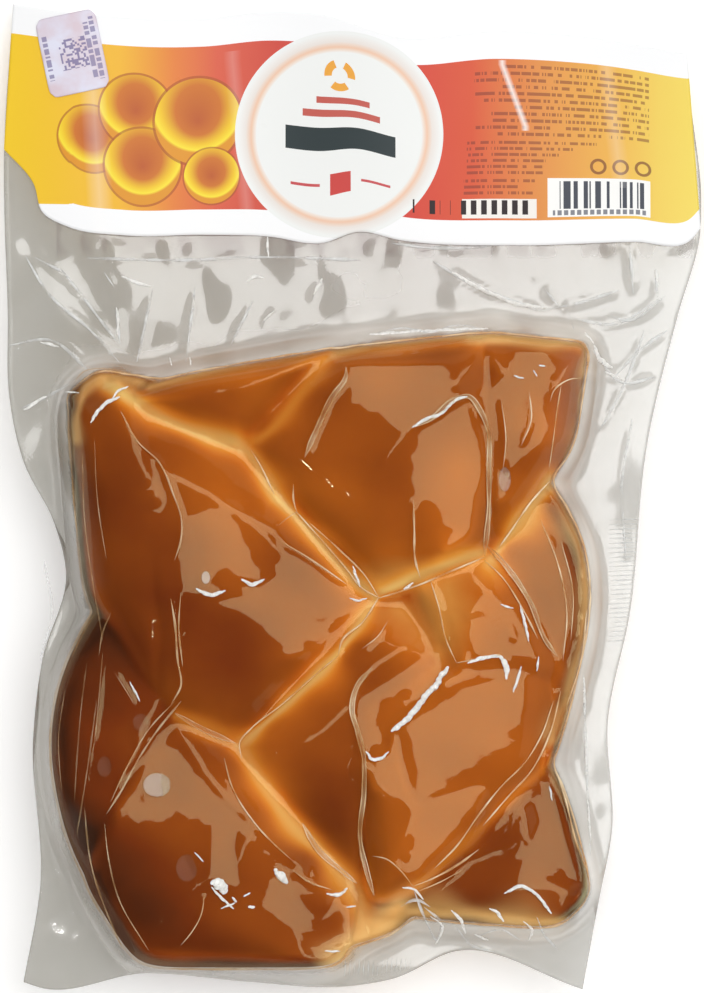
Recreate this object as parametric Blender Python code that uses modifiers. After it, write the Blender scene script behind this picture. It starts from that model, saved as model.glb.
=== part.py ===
"""Smoked braided cheese in a clear vacuum bag, lying flat with its shown side up.

Units are metres, +Z is up and +Y points from the cheese towards the printed header.
The bag's film is drawn tight over the braid, so the bag and the braid are one solid:
plump lobes that meet in creases, on a thin sealed rim that droops towards the table.
A folded header label grips the rim's far end, and a small control sticker lies on it.
"""

import math

import bmesh
import bpy
import numpy as np

MM = 0.001

# --- driving sizes, in millimetres -------------------------------------------------
SEAM_HEIGHT = 20.0          # the bag's weld line, half way up the cheese
RIM_THICKNESS = 0.8         # two films welded together, with some air
LABEL_THICKNESS = 0.4
STICKER_THICKNESS = 0.3
CLEARANCE = 0.3             # gap between neighbouring pieces
UNDERSIDE_DIP = 2.0         # how far a strand would bulge below the table it rests on

# A strand's lobe: its corners seen from above (x, y), its top, and the slope of its top.
LOBES = {
    "left_long": ([(-82, 26), (-67, 33), (-60, 22), (-47, -7), (-49, -58), (-54, -61),
                   (-78, -23)], 42, (0.22, 0.05)),
    "left_ridge": ([(-68, 24), (-56, 12), (-40, -6), (-40, -48), (-50, -57), (-60, -30)],
                   43.5, (0.05, 0.0)),
    "top_wedge": ([(-66, 29), (-54, 34), (-8, 42), (-32, 14)], 41, (0.0, 0.10)),
    "top_middle": ([(-8, 42), (39, 47), (39, -17), (7, -29), (-16, -5), (-32, 14)], 46,
                   (0.02, 0.0)),
    "top_right": ([(39, 47), (68, 44), (64, 15), (57, 4), (43, -15), (39, -16)], 41,
                  (-0.10, 0.05)),
    "centre": ([(-72, 30), (-32, 15), (7, -29), (-33, -73), (-53, -63), (-67, -18)], 43,
               (-0.04, -0.03)),
    "middle": ([(-33, -73), (7, -29), (28, -28), (34, -50), (20, -76), (11, -117),
                (-1, -116)], 41, (-0.10, 0.0)),
    "right_large": ([(28, -47), (54, -42), (61, -56), (58, -76), (18, -114), (6, -116),
                     (0, -61)], 46, (-0.03, 0.0)),
    "right_top": ([(18, -24), (38, -17), (53, -33), (60, -50), (43, -70), (28, -56)], 43,
                  (0.0, 0.0)),
    "right_outer": ([(57, 4), (67, -13), (69, -31), (63, -62), (58, -76), (37, -59),
                     (38, -14)], 37, (-0.10, 0.0)),
    "low_right": ([(55, -74), (60, -80), (69, -115), (58, -126), (48, -125), (20, -124),
                   (12, -117), (15, -108)], 38, (0.10, 0.0)),
    "low_left": ([(-51, -63), (-33, -73), (1, -114), (1, -129), (-2, -136), (-62, -136),
                  (-78, -111), (-71, -90)], 44, (0.05, 0.0)),
    "left_outer": ([(-72, -29), (-44, -62), (-62, -92), (-75, -114), (-83, -100),
                    (-88, -74), (-87, -60), (-84, -49)], 36, (0.05, 0.0)),
    "low_tip": ([(-5, -136), (0, -137), (12, -126), (25, -122), (16, -104), (-6, -106)],
                28, (0.0, 0.0)),
    "corner": ([(-82, 29), (-74, 36), (-60, 34), (-65, 28), (-79, 13)], 33, (0.0, 0.0)),
}
# The strands that run on underneath fill the pits where three lobes meet.
CORE_LOBES = {
    "core_upper": ([(-76, 28), (60, 40), (55, 0), (60, -40), (50, -80), (-60, -60),
                    (-72, -20)], 32, (0.0, 0.0)),
    "core_lower": ([(-62, -40), (58, -40), (50, -72), (50, -118), (4, -124), (-62, -128),
                    (-80, -80)], 31, (0.0, 0.0)),
}
CORE_DEPTH = 14.0           # the core stays this far below the seam
THIN_LOBE_TOP = 35.0        # lobes lower than this don't reach the table
UNDER_NEIGHBOUR = 3.5       # a lobe runs this far under the one beside it
OUTWARD = 0.6               # and this far past its corners on the cheese's own outline
CORNER_SHARPNESS = 12       # the higher, the closer the outline follows its corners
SIDE_WALL = 0.20            # share of the half height that is an upright side
SHOULDER = 3.0              # the higher, the further out the shoulder starts
CROWN = 2.6                 # the higher, the flatter the top and the steeper the shoulder
LOBE_SEGMENTS = 22
LOBE_RINGS = 12
CORE_SEGMENTS = 16
CORE_RINGS = 8

# The bag's outline, seen from above, from its lower left corner.
BAG_LEFT = [(-95.6, -141.1), (-90.6, -113.0), (-92.7, -70.6), (-90.0, -47.4),
            (-83.1, -21.9), (-86.3, -8.3), (-95.3, 9.7), (-99.6, 28.6), (-100.2, 53.2),
            (-101.4, 100.5), (-99.0, 142.6)]
BAG_RIGHT = [(66.8, -143.1), (71.5, -117.0), (75.3, -96.7), (74.1, -65.4),
             (80.5, -33.8), (85.7, 16.1), (94.7, 53.2), (101.0, 76.0), (101.4, 86.0),
             (98.5, 115.0), (97.6, 128.0)]
BAG_BOTTOM = [(-95.6, -141.1), (-90.6, -142.7), (-59.3, -138.2), (-29.7, -140.8),
              (-2.2, -142.2), (11.7, -139.9), (30.3, -131.8), (66.8, -143.1)]
FOLD_EDGE = [(-99.0, 143.5), (-85.4, 141.4), (-43.6, 139.3), (-23.9, 141.4),
             (-10.9, 140.8), (15.2, 133.5), (41.3, 135.6), (67.4, 134.1), (97.6, 128.9)]
LABEL_LOW_EDGE = [(-101.4, 101.0), (-92.7, 90.9), (-90.0, 82.5), (-82.8, 78.4),
                  (-66.0, 75.8), (-43.3, 76.0), (-24.4, 75.5), (-9.4, 73.5), (2.0, 76.8),
                  (13.8, 74.4), (47.7, 72.9), (81.5, 74.0), (97.9, 74.2), (101.2, 78.0)]
LABEL_BACK_EDGE = 79.0      # the back flap's lower edge, straight but for its cut corner

RIM_COLUMNS = 18
RIM_ROWS = 26
LABEL_COLUMNS = 26
LABEL_ROWS = 7
FOLD_STEPS = 3

# The sticker: its centre, width, height and turn.
STICKER_CENTRE = (-81.5, 129.0)
STICKER_SIZE = (17.8, 23.4)
STICKER_TURN = math.radians(12)
STICKER_CORNER = 2.0
STICKER_GRID = (4, 6)

# The rim droops as it leaves the cheese, and the header ripples a little.
CHEESE_MIDDLE = (-8.0, -45.0)
CHEESE_HALF = (80.0, 92.0)
DROOP = 14.5
RIPPLE_START = 45.0
RIPPLE_FULL = 100.0
RIPPLE_HEIGHT = 1.5
RIPPLE_LENGTH = 96.0
SIDE_WAVE_HEIGHT = 1.2
SIDE_WAVE_LENGTH = 64.0


def rim_height(x, y):
    """Height of the rim's middle surface at x, y (all in millimetres).

    It is the seam's height, less a droop that grows with the distance from the cheese
    (a rounded oblong's gauge), plus a ripple across the header and a wave along the sides.
    """
    across = np.abs(x - CHEESE_MIDDLE[0]) / CHEESE_HALF[0]
    along = np.abs(y - CHEESE_MIDDLE[1]) / CHEESE_HALF[1]
    gauge = (across ** 4 + along ** 4) ** 0.25
    outside = np.maximum(0.0, gauge - 1.0)
    header = np.clip((y - RIPPLE_START) / (RIPPLE_FULL - RIPPLE_START), 0.0, 1.0)
    ripple = RIPPLE_HEIGHT * header * np.sin(2 * math.pi * x / RIPPLE_LENGTH + 0.5)
    wave = SIDE_WAVE_HEIGHT * np.clip(outside * 6, 0, 1) * (1 - header)
    wave = wave * np.sin(2 * math.pi * y / SIDE_WAVE_LENGTH)
    return SEAM_HEIGHT - DROOP * outside + ripple + wave


def smooth_curve(points, share):
    """Points at the given shares (0 to 1) of the length of a smooth curve through points.

    Each coordinate is a cubic between the points, with the slope of a Catmull-Rom spline
    on the chord lengths.
    """
    points = np.array(points, float)
    chord = np.linalg.norm(np.diff(points, axis=0), axis=1)
    knots = np.concatenate([[0.0], np.cumsum(chord)])
    slope = np.gradient(points, knots, axis=0)
    at = np.clip(np.asarray(share) * knots[-1], 0, knots[-1])
    i = np.clip(np.searchsorted(knots, at, side="right") - 1, 0, len(chord) - 1)
    step = chord[i][:, None]
    t = ((at - knots[i]) / chord[i])[:, None]
    return ((2 * t ** 3 - 3 * t ** 2 + 1) * points[i]
            + (t ** 3 - 2 * t ** 2 + t) * step * slope[i]
            + (3 * t ** 2 - 2 * t ** 3) * points[i + 1]
            + (t ** 3 - t ** 2) * step * slope[i + 1])


def edge_normals(corners):
    """Outward unit normals of a polygon's edges, its corners running anticlockwise."""
    edge = np.roll(corners, -1, axis=0) - corners
    normal = np.stack([edge[:, 1], -edge[:, 0]], axis=1)
    return normal / np.linalg.norm(normal, axis=1)[:, None]


def anticlockwise(corners):
    """The corners as an array that runs anticlockwise."""
    corners = np.array(corners, float)
    x, y = corners.T
    signed_area = np.sum(x * np.roll(y, -1) - np.roll(x, -1) * y)
    return corners[::-1] if signed_area < 0 else corners


def centroid(corners):
    """The polygon's centre of area."""
    x, y = corners.T
    cross = x * np.roll(y, -1) - np.roll(x, -1) * y
    area = cross.sum() / 2
    return np.array([((x + np.roll(x, -1)) * cross).sum(),
                     ((y + np.roll(y, -1)) * cross).sum()]) / (6 * area)


def lies_in(point, corners):
    """Whether a point lies in a convex polygon."""
    return bool(np.all(((point - corners) * edge_normals(corners)).sum(axis=1) < 0))


def lobe_gauge(name, lobes):
    """A lobe's centre, edge normals and edge distances.

    An edge with another lobe just outside it is pushed a little under that neighbour.
    """
    corners = anticlockwise(lobes[name][0])
    centre = centroid(corners)
    normals = edge_normals(corners)
    distances = ((corners - centre) * normals).sum(axis=1)
    others = [anticlockwise(lobe[0]) for other, lobe in lobes.items() if other != name]
    middles = (corners + np.roll(corners, -1, axis=0)) / 2 + 4.0 * normals
    shared = [any(lies_in(middle, other) for other in others) for middle in middles]
    return centre, normals, distances + np.where(shared, UNDER_NEIGHBOUR, OUTWARD)


def lobe_outline(gauge, share):
    """Offsets from the centre of the lobe's rounded outline, at shares of its length.

    In a direction d the outline lies at 1 / N(d), where N is the sum over the edges of
    (n.d / distance) to the power CORNER_SHARPNESS, rooted: a polygon with soft corners.
    """
    _, normals, distances = gauge
    angle = np.linspace(0, 2 * math.pi, 721)
    ray = np.stack([np.cos(angle), np.sin(angle)], axis=1)
    reach = np.maximum(0, ray @ normals.T / distances) ** CORNER_SHARPNESS
    outline = ray / (reach.sum(axis=1) ** (1 / CORNER_SHARPNESS))[:, None]
    length = np.concatenate([[0], np.cumsum(np.linalg.norm(np.diff(outline, axis=0), axis=1))])
    at = np.asarray(share) * length[-1]
    return np.stack([np.interp(at, length, outline[:, 0]),
                     np.interp(at, length, outline[:, 1])], axis=1)


def new_object(name, mesh, home):
    """An object of this mesh, linked to the collection home."""
    made = bpy.data.objects.new(name, mesh)
    home.objects.link(made)
    return made


def lobe_mesh(name, lobes, segments, rings, depth):
    """A sphere's grid laid on a pillow: flat-topped, with round shoulders and upright sides.

    At latitude p the outline is scaled by cos(p) ** (2 / SHOULDER) and the height above
    the seam is SIDE_WALL + (1 - SIDE_WALL) * sin(p) ** (2 / CROWN) of the half height.
    """
    _, top, slope = lobes[name]
    gauge = lobe_gauge(name, lobes)
    centre = gauge[0]
    work = bmesh.new()
    bmesh.ops.create_uvsphere(work, u_segments=segments, v_segments=rings, radius=1.0)
    ball = np.array([vertex.co for vertex in work.verts])
    share = (np.arctan2(ball[:, 1], ball[:, 0]) / (2 * math.pi)) % 1.0
    sine = np.clip(ball[:, 2], -1, 1)
    cosine = np.sqrt(np.maximum(0, 1 - sine ** 2))
    spread = cosine ** (2 / SHOULDER)
    offset = lobe_outline(gauge, share) * spread[:, None]
    level = np.abs(sine) > 1e-3
    crown = np.abs(sine) ** (2 / CROWN)
    rise = np.where(level, SIDE_WALL + (1 - SIDE_WALL) * crown, 0.0)
    lean = (offset * slope).sum(axis=1)
    upper = (top - SEAM_HEIGHT + lean) * rise
    lower = -depth * rise
    height = SEAM_HEIGHT + np.where(sine > 0, upper, lower)
    place = np.column_stack([centre + offset, height]) * MM
    for vertex, spot in zip(work.verts, place):
        vertex.co = spot
    mesh = bpy.data.meshes.new(name)
    work.to_mesh(mesh)
    work.free()
    return mesh


def grid_mesh(name, columns, rows, surface):
    """An open sheet: surface(u, v) gives the points of a grid of columns by rows."""
    work = bmesh.new()
    bmesh.ops.create_grid(work, x_segments=columns, y_segments=rows, size=1.0)
    flat = np.array([vertex.co for vertex in work.verts])
    place = surface((flat[:, 0] + 1) / 2, (flat[:, 1] + 1) / 2) * MM
    for vertex, spot in zip(work.verts, place):
        vertex.co = spot
    mesh = bpy.data.meshes.new(name)
    work.to_mesh(mesh)
    work.free()
    return mesh


def thicken(sheet, thickness):
    """Give an open sheet its thickness, half to each side."""
    solid = sheet.modifiers.new("Thickness", "SOLIDIFY")
    solid.thickness = thickness * MM
    solid.offset = 0.0
    solid.use_even_offset = True


def rim_surface(u, v):
    """The rim's middle surface: a Coons patch between the bag's four edges.

    The two sides and the two ends are blended, less the blend of the four corners. The
    far end is the label's fold edge, set back to leave the fold its room.
    """
    inner_end = np.array(FOLD_EDGE) - np.array([0.0, fold_radius()])
    left, right = smooth_curve(BAG_LEFT, v), smooth_curve(BAG_RIGHT, v)
    near, far = smooth_curve(BAG_BOTTOM, u), smooth_curve(inner_end, u)
    u, v = u[:, None], v[:, None]
    corners = ((1 - u) * (1 - v) * BAG_BOTTOM[0] + u * (1 - v) * np.array(BAG_BOTTOM[-1])
               + (1 - u) * v * inner_end[0] + u * v * inner_end[-1])
    flat = (1 - u) * left + u * right + (1 - v) * near + v * far - corners
    return np.column_stack([flat, rim_height(flat[:, 0], flat[:, 1])])


def fold_radius():
    """Radius of the label's fold, measured to the middle of its sheet."""
    return RIM_THICKNESS / 2 + CLEARANCE + LABEL_THICKNESS / 2


def label_surface(u, v):
    """The label's middle surface, wrapped round the rim's far end.

    Row by row it runs up the front flap, round the fold and down the back flap. The
    first and last LABEL_ROWS rows are the flaps, and the FOLD_STEPS between them turn
    half a circle about the fold line.
    """
    rows = 2 * LABEL_ROWS + FOLD_STEPS
    row = np.rint(v * rows)
    radius = fold_radius()
    low = smooth_curve(LABEL_LOW_EDGE, u)
    fold = smooth_curve(FOLD_EDGE, u) - np.array([0.0, radius])
    back = np.column_stack([fold[:, 0] * 0.99, np.maximum(low[:, 1], LABEL_BACK_EDGE)])
    up = np.clip(row / LABEL_ROWS, 0, 1)[:, None]
    down = np.clip((row - LABEL_ROWS - FOLD_STEPS) / LABEL_ROWS, 0, 1)[:, None]
    front_flap = low + (fold - low) * up
    flat = np.where(down > 0, fold + (back - fold) * down, front_flap)
    turn = np.clip((row - LABEL_ROWS) / FOLD_STEPS, 0, 1) * math.pi
    height = rim_height(flat[:, 0], flat[:, 1]) + radius * np.cos(turn)
    flat[:, 1] += radius * np.sin(turn)
    return np.column_stack([flat, height])


def sticker_surface(u, v):
    """The sticker's middle surface: a turned rounded oblong that follows the label.

    The last row and column on each side step in at the corners, which rounds them.
    """
    width, height = STICKER_SIZE
    across, along = (u - 0.5) * width, (v - 0.5) * height
    corner = (np.abs(across) > width / 2 - 1e-6) & (np.abs(along) > height / 2 - 1e-6)
    trim = np.where(corner, STICKER_CORNER * 0.3, 0.0)
    across = across - np.sign(across) * trim
    along = along - np.sign(along) * trim
    x = STICKER_CENTRE[0] + across * math.cos(STICKER_TURN) - along * math.sin(STICKER_TURN)
    y = STICKER_CENTRE[1] + across * math.sin(STICKER_TURN) + along * math.cos(STICKER_TURN)
    lift = fold_radius() + LABEL_THICKNESS / 2 + CLEARANCE + STICKER_THICKNESS / 2
    return np.column_stack([x, y, rim_height(x, y) + lift])


def make_material(name, colour, roughness, alpha=1.0):
    """A plain material for one sub-part."""
    made = bpy.data.materials.new(name)
    made.use_nodes = True
    shader = made.node_tree.nodes["Principled BSDF"]
    shader.inputs["Base Color"].default_value = (*colour, 1.0)
    shader.inputs["Roughness"].default_value = roughness
    shader.inputs["Metallic"].default_value = 0.0
    shader.inputs["Alpha"].default_value = alpha
    return made


def apply_modifiers(target):
    """Replace an object's mesh with what its modifiers make, and drop the modifiers."""
    graph = bpy.context.evaluated_depsgraph_get()
    mesh = bpy.data.meshes.new_from_object(target.evaluated_get(graph))
    target.modifiers.clear()
    target.data = mesh


def build_bag(home, cutters):
    """The sealed bag: the rim joined with every lobe, cut level where it rests."""
    bag = new_object("sealed_bag", grid_mesh("sealed_bag", RIM_COLUMNS, RIM_ROWS, rim_surface), home)
    thicken(bag, RIM_THICKNESS)
    apply_modifiers(bag)

    strands = bpy.data.collections.new("strands")
    home.children.link(strands)
    for name, (_, top, _) in LOBES.items():
        thin = top < THIN_LOBE_TOP
        depth = top - SEAM_HEIGHT if thin else SEAM_HEIGHT + UNDERSIDE_DIP
        new_object(name, lobe_mesh(name, LOBES, LOBE_SEGMENTS, LOBE_RINGS, depth), strands)
    for name in CORE_LOBES:
        mesh = lobe_mesh(name, CORE_LOBES, CORE_SEGMENTS, CORE_RINGS, CORE_DEPTH)
        new_object(name, mesh, strands)

    union = bag.modifiers.new("Join strands", "BOOLEAN")
    union.operation = "UNION"
    union.operand_type = "COLLECTION"
    union.collection = strands
    union.solver = "MANIFOLD"
    apply_modifiers(bag)
    for strand in list(strands.objects):
        bpy.data.objects.remove(strand, do_unlink=True)
    bpy.data.collections.remove(strands)

    bpy.ops.mesh.primitive_cube_add(size=1.0, location=(0, 0, -0.02))
    table = bpy.context.object
    table.name = "table_cutter"
    table.scale = (0.4, 0.4, 0.04)
    for other in list(table.users_collection):
        other.objects.unlink(table)
    cutters.objects.link(table)
    table.hide_render = True
    table.display_type = "WIRE"
    level = bag.modifiers.new("Level underside", "BOOLEAN")
    level.operation = "DIFFERENCE"
    level.object = table
    level.solver = "EXACT"
    bag.data.materials.clear()
    bag.data.materials.append(make_material("smoked_cheese_in_film", (0.42, 0.14, 0.035), 0.22))
    return bag


def build_label(home):
    """The folded header label."""
    sheet = grid_mesh("header_label", LABEL_COLUMNS, 2 * LABEL_ROWS + FOLD_STEPS, label_surface)
    label = new_object("header_label", sheet, home)
    thicken(label, LABEL_THICKNESS)
    label.data.materials.append(make_material("printed_label", (0.85, 0.52, 0.20), 0.35))
    return label


def build_sticker(home):
    """The small control sticker on the label's corner."""
    sheet = grid_mesh("control_sticker", *STICKER_GRID, sticker_surface)
    sticker = new_object("control_sticker", sheet, home)
    thicken(sticker, STICKER_THICKNESS)
    sticker.data.materials.append(make_material("lilac_sticker", (0.55, 0.47, 0.55), 0.40))
    return sticker


def main():
    for leftover in list(bpy.data.objects):
        bpy.data.objects.remove(leftover, do_unlink=True)
    scene = bpy.context.scene
    home = bpy.data.collections.new("braided_cheese_pack")
    cutters = bpy.data.collections.new("cutters")
    scene.collection.children.link(home)
    scene.collection.children.link(cutters)
    build_bag(home, cutters)
    build_label(home)
    build_sticker(home)


main()
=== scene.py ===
"""Looks of a smoked braided cheese in its clear vacuum bag, lying with its shown side up.

Lengths are millimetres until a mesh is made, +Z is up and +Y runs from the cheese to the
printed header. The film is a membrane drawn over the braid's lobes, worked out as a height
field, and the braid lies just under it.
"""

import math

import bpy
import numpy as np
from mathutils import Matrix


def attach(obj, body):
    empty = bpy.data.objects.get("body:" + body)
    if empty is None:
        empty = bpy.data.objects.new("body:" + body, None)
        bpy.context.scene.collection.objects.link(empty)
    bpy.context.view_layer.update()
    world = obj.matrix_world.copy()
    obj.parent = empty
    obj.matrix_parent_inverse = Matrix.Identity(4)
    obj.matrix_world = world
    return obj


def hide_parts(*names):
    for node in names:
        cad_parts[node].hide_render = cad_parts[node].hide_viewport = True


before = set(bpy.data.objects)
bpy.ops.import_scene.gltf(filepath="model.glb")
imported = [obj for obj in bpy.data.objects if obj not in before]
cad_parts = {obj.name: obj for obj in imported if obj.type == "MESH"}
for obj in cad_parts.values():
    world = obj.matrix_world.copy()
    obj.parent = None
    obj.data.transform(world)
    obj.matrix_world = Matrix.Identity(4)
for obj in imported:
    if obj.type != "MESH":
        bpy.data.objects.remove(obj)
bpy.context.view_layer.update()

MM = 0.001

# --- the pack's sizes, as in the solids ---
SEAM_HEIGHT = 20.0          # the weld line, half way up the cheese
UNDERSIDE = 22.0            # from the seam to the lowest point of a thick strand
CHEESE_MIDDLE = (-8.0, -45.0)
CHEESE_HALF = (80.0, 92.0)
DROOP = 14.5
RIPPLE_START, RIPPLE_FULL = 45.0, 100.0
RIPPLE_HEIGHT, RIPPLE_LENGTH, RIPPLE_PHASE = 1.5, 96.0, 0.5
SIDE_WAVE_HEIGHT, SIDE_WAVE_LENGTH = 1.2, 64.0
SIDE_WAVE_ONSET = 6         # full height at a sixth of the cheese's half size outside it

# A strand's lobe: its corners seen from above (x, y), its top, and the slope of its top.
LOBES = {
    "left_long": ([(-82, 26), (-67, 33), (-60, 22), (-47, -7), (-49, -58), (-54, -61),
                   (-78, -23)], 42, (0.22, 0.05)),
    "left_ridge": ([(-68, 24), (-56, 12), (-40, -6), (-40, -48), (-50, -57), (-60, -30)],
                   43.5, (0.05, 0.0)),
    "top_wedge": ([(-66, 29), (-54, 34), (-8, 42), (-32, 14)], 41, (0.0, 0.10)),
    "top_middle": ([(-8, 42), (39, 47), (39, -17), (7, -29), (-16, -5), (-32, 14)], 46,
                   (0.02, 0.0)),
    "top_right": ([(39, 47), (68, 44), (64, 15), (57, 4), (43, -15), (39, -16)], 41,
                  (-0.10, 0.05)),
    "centre": ([(-72, 30), (-32, 15), (7, -29), (-33, -73), (-53, -63), (-67, -18)], 43,
               (-0.04, -0.03)),
    "middle": ([(-33, -73), (7, -29), (28, -28), (34, -50), (20, -76), (11, -117),
                (-1, -116)], 41, (-0.10, 0.0)),
    "right_large": ([(28, -47), (54, -42), (61, -56), (58, -76), (18, -114), (6, -116),
                     (0, -61)], 46, (-0.03, 0.0)),
    "right_top": ([(18, -24), (38, -17), (53, -33), (60, -50), (43, -70), (28, -56)], 43,
                  (0.0, 0.0)),
    "right_outer": ([(57, 4), (67, -13), (69, -31), (63, -62), (58, -76), (37, -59),
                     (38, -14)], 37, (-0.10, 0.0)),
    "low_right": ([(55, -74), (60, -80), (69, -115), (58, -126), (48, -125), (20, -124),
                   (12, -117), (15, -108)], 38, (0.10, 0.0)),
    "low_left": ([(-51, -63), (-33, -73), (1, -114), (1, -129), (-2, -136), (-62, -136),
                  (-78, -111), (-71, -90)], 44, (0.05, 0.0)),
    "left_outer": ([(-72, -29), (-44, -62), (-62, -92), (-75, -114), (-83, -100),
                    (-88, -74), (-87, -60), (-84, -49)], 36, (0.05, 0.0)),
    "low_tip": ([(-5, -136), (0, -137), (12, -126), (25, -122), (16, -104), (-6, -106)],
                28, (0.0, 0.0)),
    "corner": ([(-82, 29), (-74, 36), (-60, 34), (-65, 28), (-79, 13)], 33, (0.0, 0.0)),
}
# The strands that run on underneath fill the pits where three lobes meet.
CORE_LOBES = {
    "core_upper": ([(-76, 28), (60, 40), (55, 0), (60, -40), (50, -80), (-60, -60),
                    (-72, -20)], 32, (0.0, 0.0)),
    "core_lower": ([(-62, -40), (58, -40), (50, -72), (50, -118), (4, -124), (-62, -128),
                    (-80, -80)], 31, (0.0, 0.0)),
}
CORE_DEPTH = 14.0
THIN_LOBE_TOP = 35.0        # lobes lower than this don't reach the table
UNDER_NEIGHBOUR = 3.5       # a lobe runs this far under the one beside it
OUTWARD = 0.6               # and this far past its corners on the cheese's own outline
BESIDE = 4.0                # how far outside an edge another lobe counts as beside it
CORNER_SHARPNESS = 12
SIDE_WALL = 0.20
SHOULDER, CROWN = 3.0, 2.6  # how square its shoulder is seen from above and from the side

# The bag's outline, seen from above, from its lower left corner.
BAG_LEFT = [(-95.6, -141.1), (-90.6, -113.0), (-92.7, -70.6), (-90.0, -47.4),
            (-83.1, -21.9), (-86.3, -8.3), (-95.3, 9.7), (-99.6, 28.6), (-100.2, 53.2),
            (-101.4, 100.5), (-99.0, 142.6)]
BAG_RIGHT = [(66.8, -143.1), (71.5, -117.0), (75.3, -96.7), (74.1, -65.4),
             (80.5, -33.8), (85.7, 16.1), (94.7, 53.2), (101.0, 76.0), (101.4, 86.0),
             (98.5, 115.0), (97.6, 128.0)]
BAG_BOTTOM = [(-95.6, -141.1), (-90.6, -142.7), (-59.3, -138.2), (-29.7, -140.8),
              (-2.2, -142.2), (11.7, -139.9), (30.3, -131.8), (66.8, -143.1)]
FOLD_EDGE = [(-99.0, 143.5), (-85.4, 141.4), (-43.6, 139.3), (-23.9, 141.4),
             (-10.9, 140.8), (15.2, 133.5), (41.3, 135.6), (67.4, 134.1), (97.6, 128.9)]
LABEL_LOW_EDGE = [(-101.4, 101.0), (-92.7, 90.9), (-90.0, 82.5), (-82.8, 78.4),
                  (-66.0, 75.8), (-43.3, 76.0), (-24.4, 75.5), (-9.4, 73.5), (2.0, 76.8),
                  (13.8, 74.4), (47.7, 72.9), (81.5, 74.0), (97.9, 74.2), (101.2, 78.0)]
LABEL_BACK_EDGE = 79.0
FOLD_INSET = 0.9            # the label's sheet turns round this far short of the fold's edge
STICKER_CENTRE = (-81.5, 129.0)
STICKER_SIZE = (17.8, 23.4)
STICKER_TURN = math.radians(12)
STICKER_CORNER = 2.0

# --- the film ---
FILM_HALF = 0.12            # from the rim's middle surface to each film
FILM_LOWEST = 0.15          # the underside film lies this high on the table
FILM_COLUMNS, FILM_ROWS = 241, 303
HEADER_ROWS = 66            # of those rows, the ones past the cheese, more widely spaced
HEADER_FROM = 50.0
UNDER_LABEL = 77.0          # the film lies flat past here, under the label
LABEL_HOLDS = 5.0           # and grows flat over this length before it
PLEATS_FROM, PLEATS_OVER = 44.0, 12.0       # where the header's pleats set in, along +Y
LEVEL_LENGTH = 30.0         # millimetres off the cheese for each unit of a lobe's level
APART_MOST = 60.0
LOOSE_OVER = 6.0            # this far off the cheese the film is as loose as anywhere
BEND = 1.6                  # radius the film takes where it spans a crease
EDGE_BEND = 0.45            # and where it meets the rim
EDGE_BEND_LEVEL, EDGE_BEND_OVER = 1.02, 0.06        # lobe levels from there in to a crease's
RIDGE_BEND = 4.0
DRAWN_STEPS, RIDGE_STEPS = 300, 60
PITCH = 0.7                 # of the height field
FIELD_LEFT, FIELD_RIGHT, FIELD_LOW, FIELD_HIGH = -104.3, 104.3, -146.3, 146.3
NOWHERE = 100.0             # a height or depth past all pieces
FARTHEST_LEVEL = 9.0
# How milky the film is: everywhere, off the cheese, and where it drops to the rim, where the milk
# is partly painted light over the shade under the rim.
LEAST_HAZE, RIM_HAZE, WALL_HAZE_AND_LIGHT = 0.003, 0.40, 0.34
RIM_HAZE_OVER, WALL_HAZE_OVER, WALL_HAZE_REACH = 1.5, 0.6, 5.0
WALL_HAZE_LEAST = 0.1       # of its full haze, far to the left, where the painted light gives way to shade
STEEP_HAZE, LEFT_HAZE = 0.01, 0.03          # on steep sides, and more where they face left
STEEP_FROM, STEEP_OVER = 0.9, 1.6           # the slopes over which that haze sets in
DIM_FROM, DIM_OVER, MOST_DIM = 0.5, 0.5, 0.85       # and a steep side's loss of mirroring
LEVEL_SLOPE = 0.01          # keeps a level place from having a direction
HAZE_BLURS = 12
# Directions on the plan along which looks change.
MOSTLY_RIGHT, RIGHT_FAR, FAR_RIGHT, LEFT_NEAR = (1.0, 0.5), (0.8, 0.6), (0.6, 0.8), (-0.8, -0.6)
# Unevenness: height, seed, count of waves, shortest and longest. Facets add their spread.
SIDE_CRUMPLE = [(0.25, 5, 7, 22.0, 60.0, math.pi), (0.03, 8, 6, 7.0, 14.0, math.pi)]
HEADER_PLEATS = [(0.40, 15, 6, 16.0, 40.0, 1.0), (0.07, 18, 6, 6.0, 14.0, math.pi)]
LABEL_CRUMPLE = [(0.22, 28, 6, 5.0, 12.0, math.pi)]
LABEL_CRUMPLE_Y, LABEL_CRUMPLE_REACH = 72.0, 3.0
FILM_RIPPLE = (0.012, 33, 10, 5.0, 9.0)
WALL_RIPPLE = (0.25, 61, 9, 9.0, 30.0)
DRIFT_RIPPLE = (0.15, 7, 4, 8.0, 20.0)
TONE_RIPPLE = (0.04, 3, 9, 18.0, 45.0)
GLOW_RIPPLE = (0.25, 12, 6, 12.0, 26.0)
BORDER_RIPPLE = (0.025, 40, 7, 14.0, 36.0)
PANE_SOFTNESS = 0.97        # below 1 it rounds the edges between facets

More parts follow.
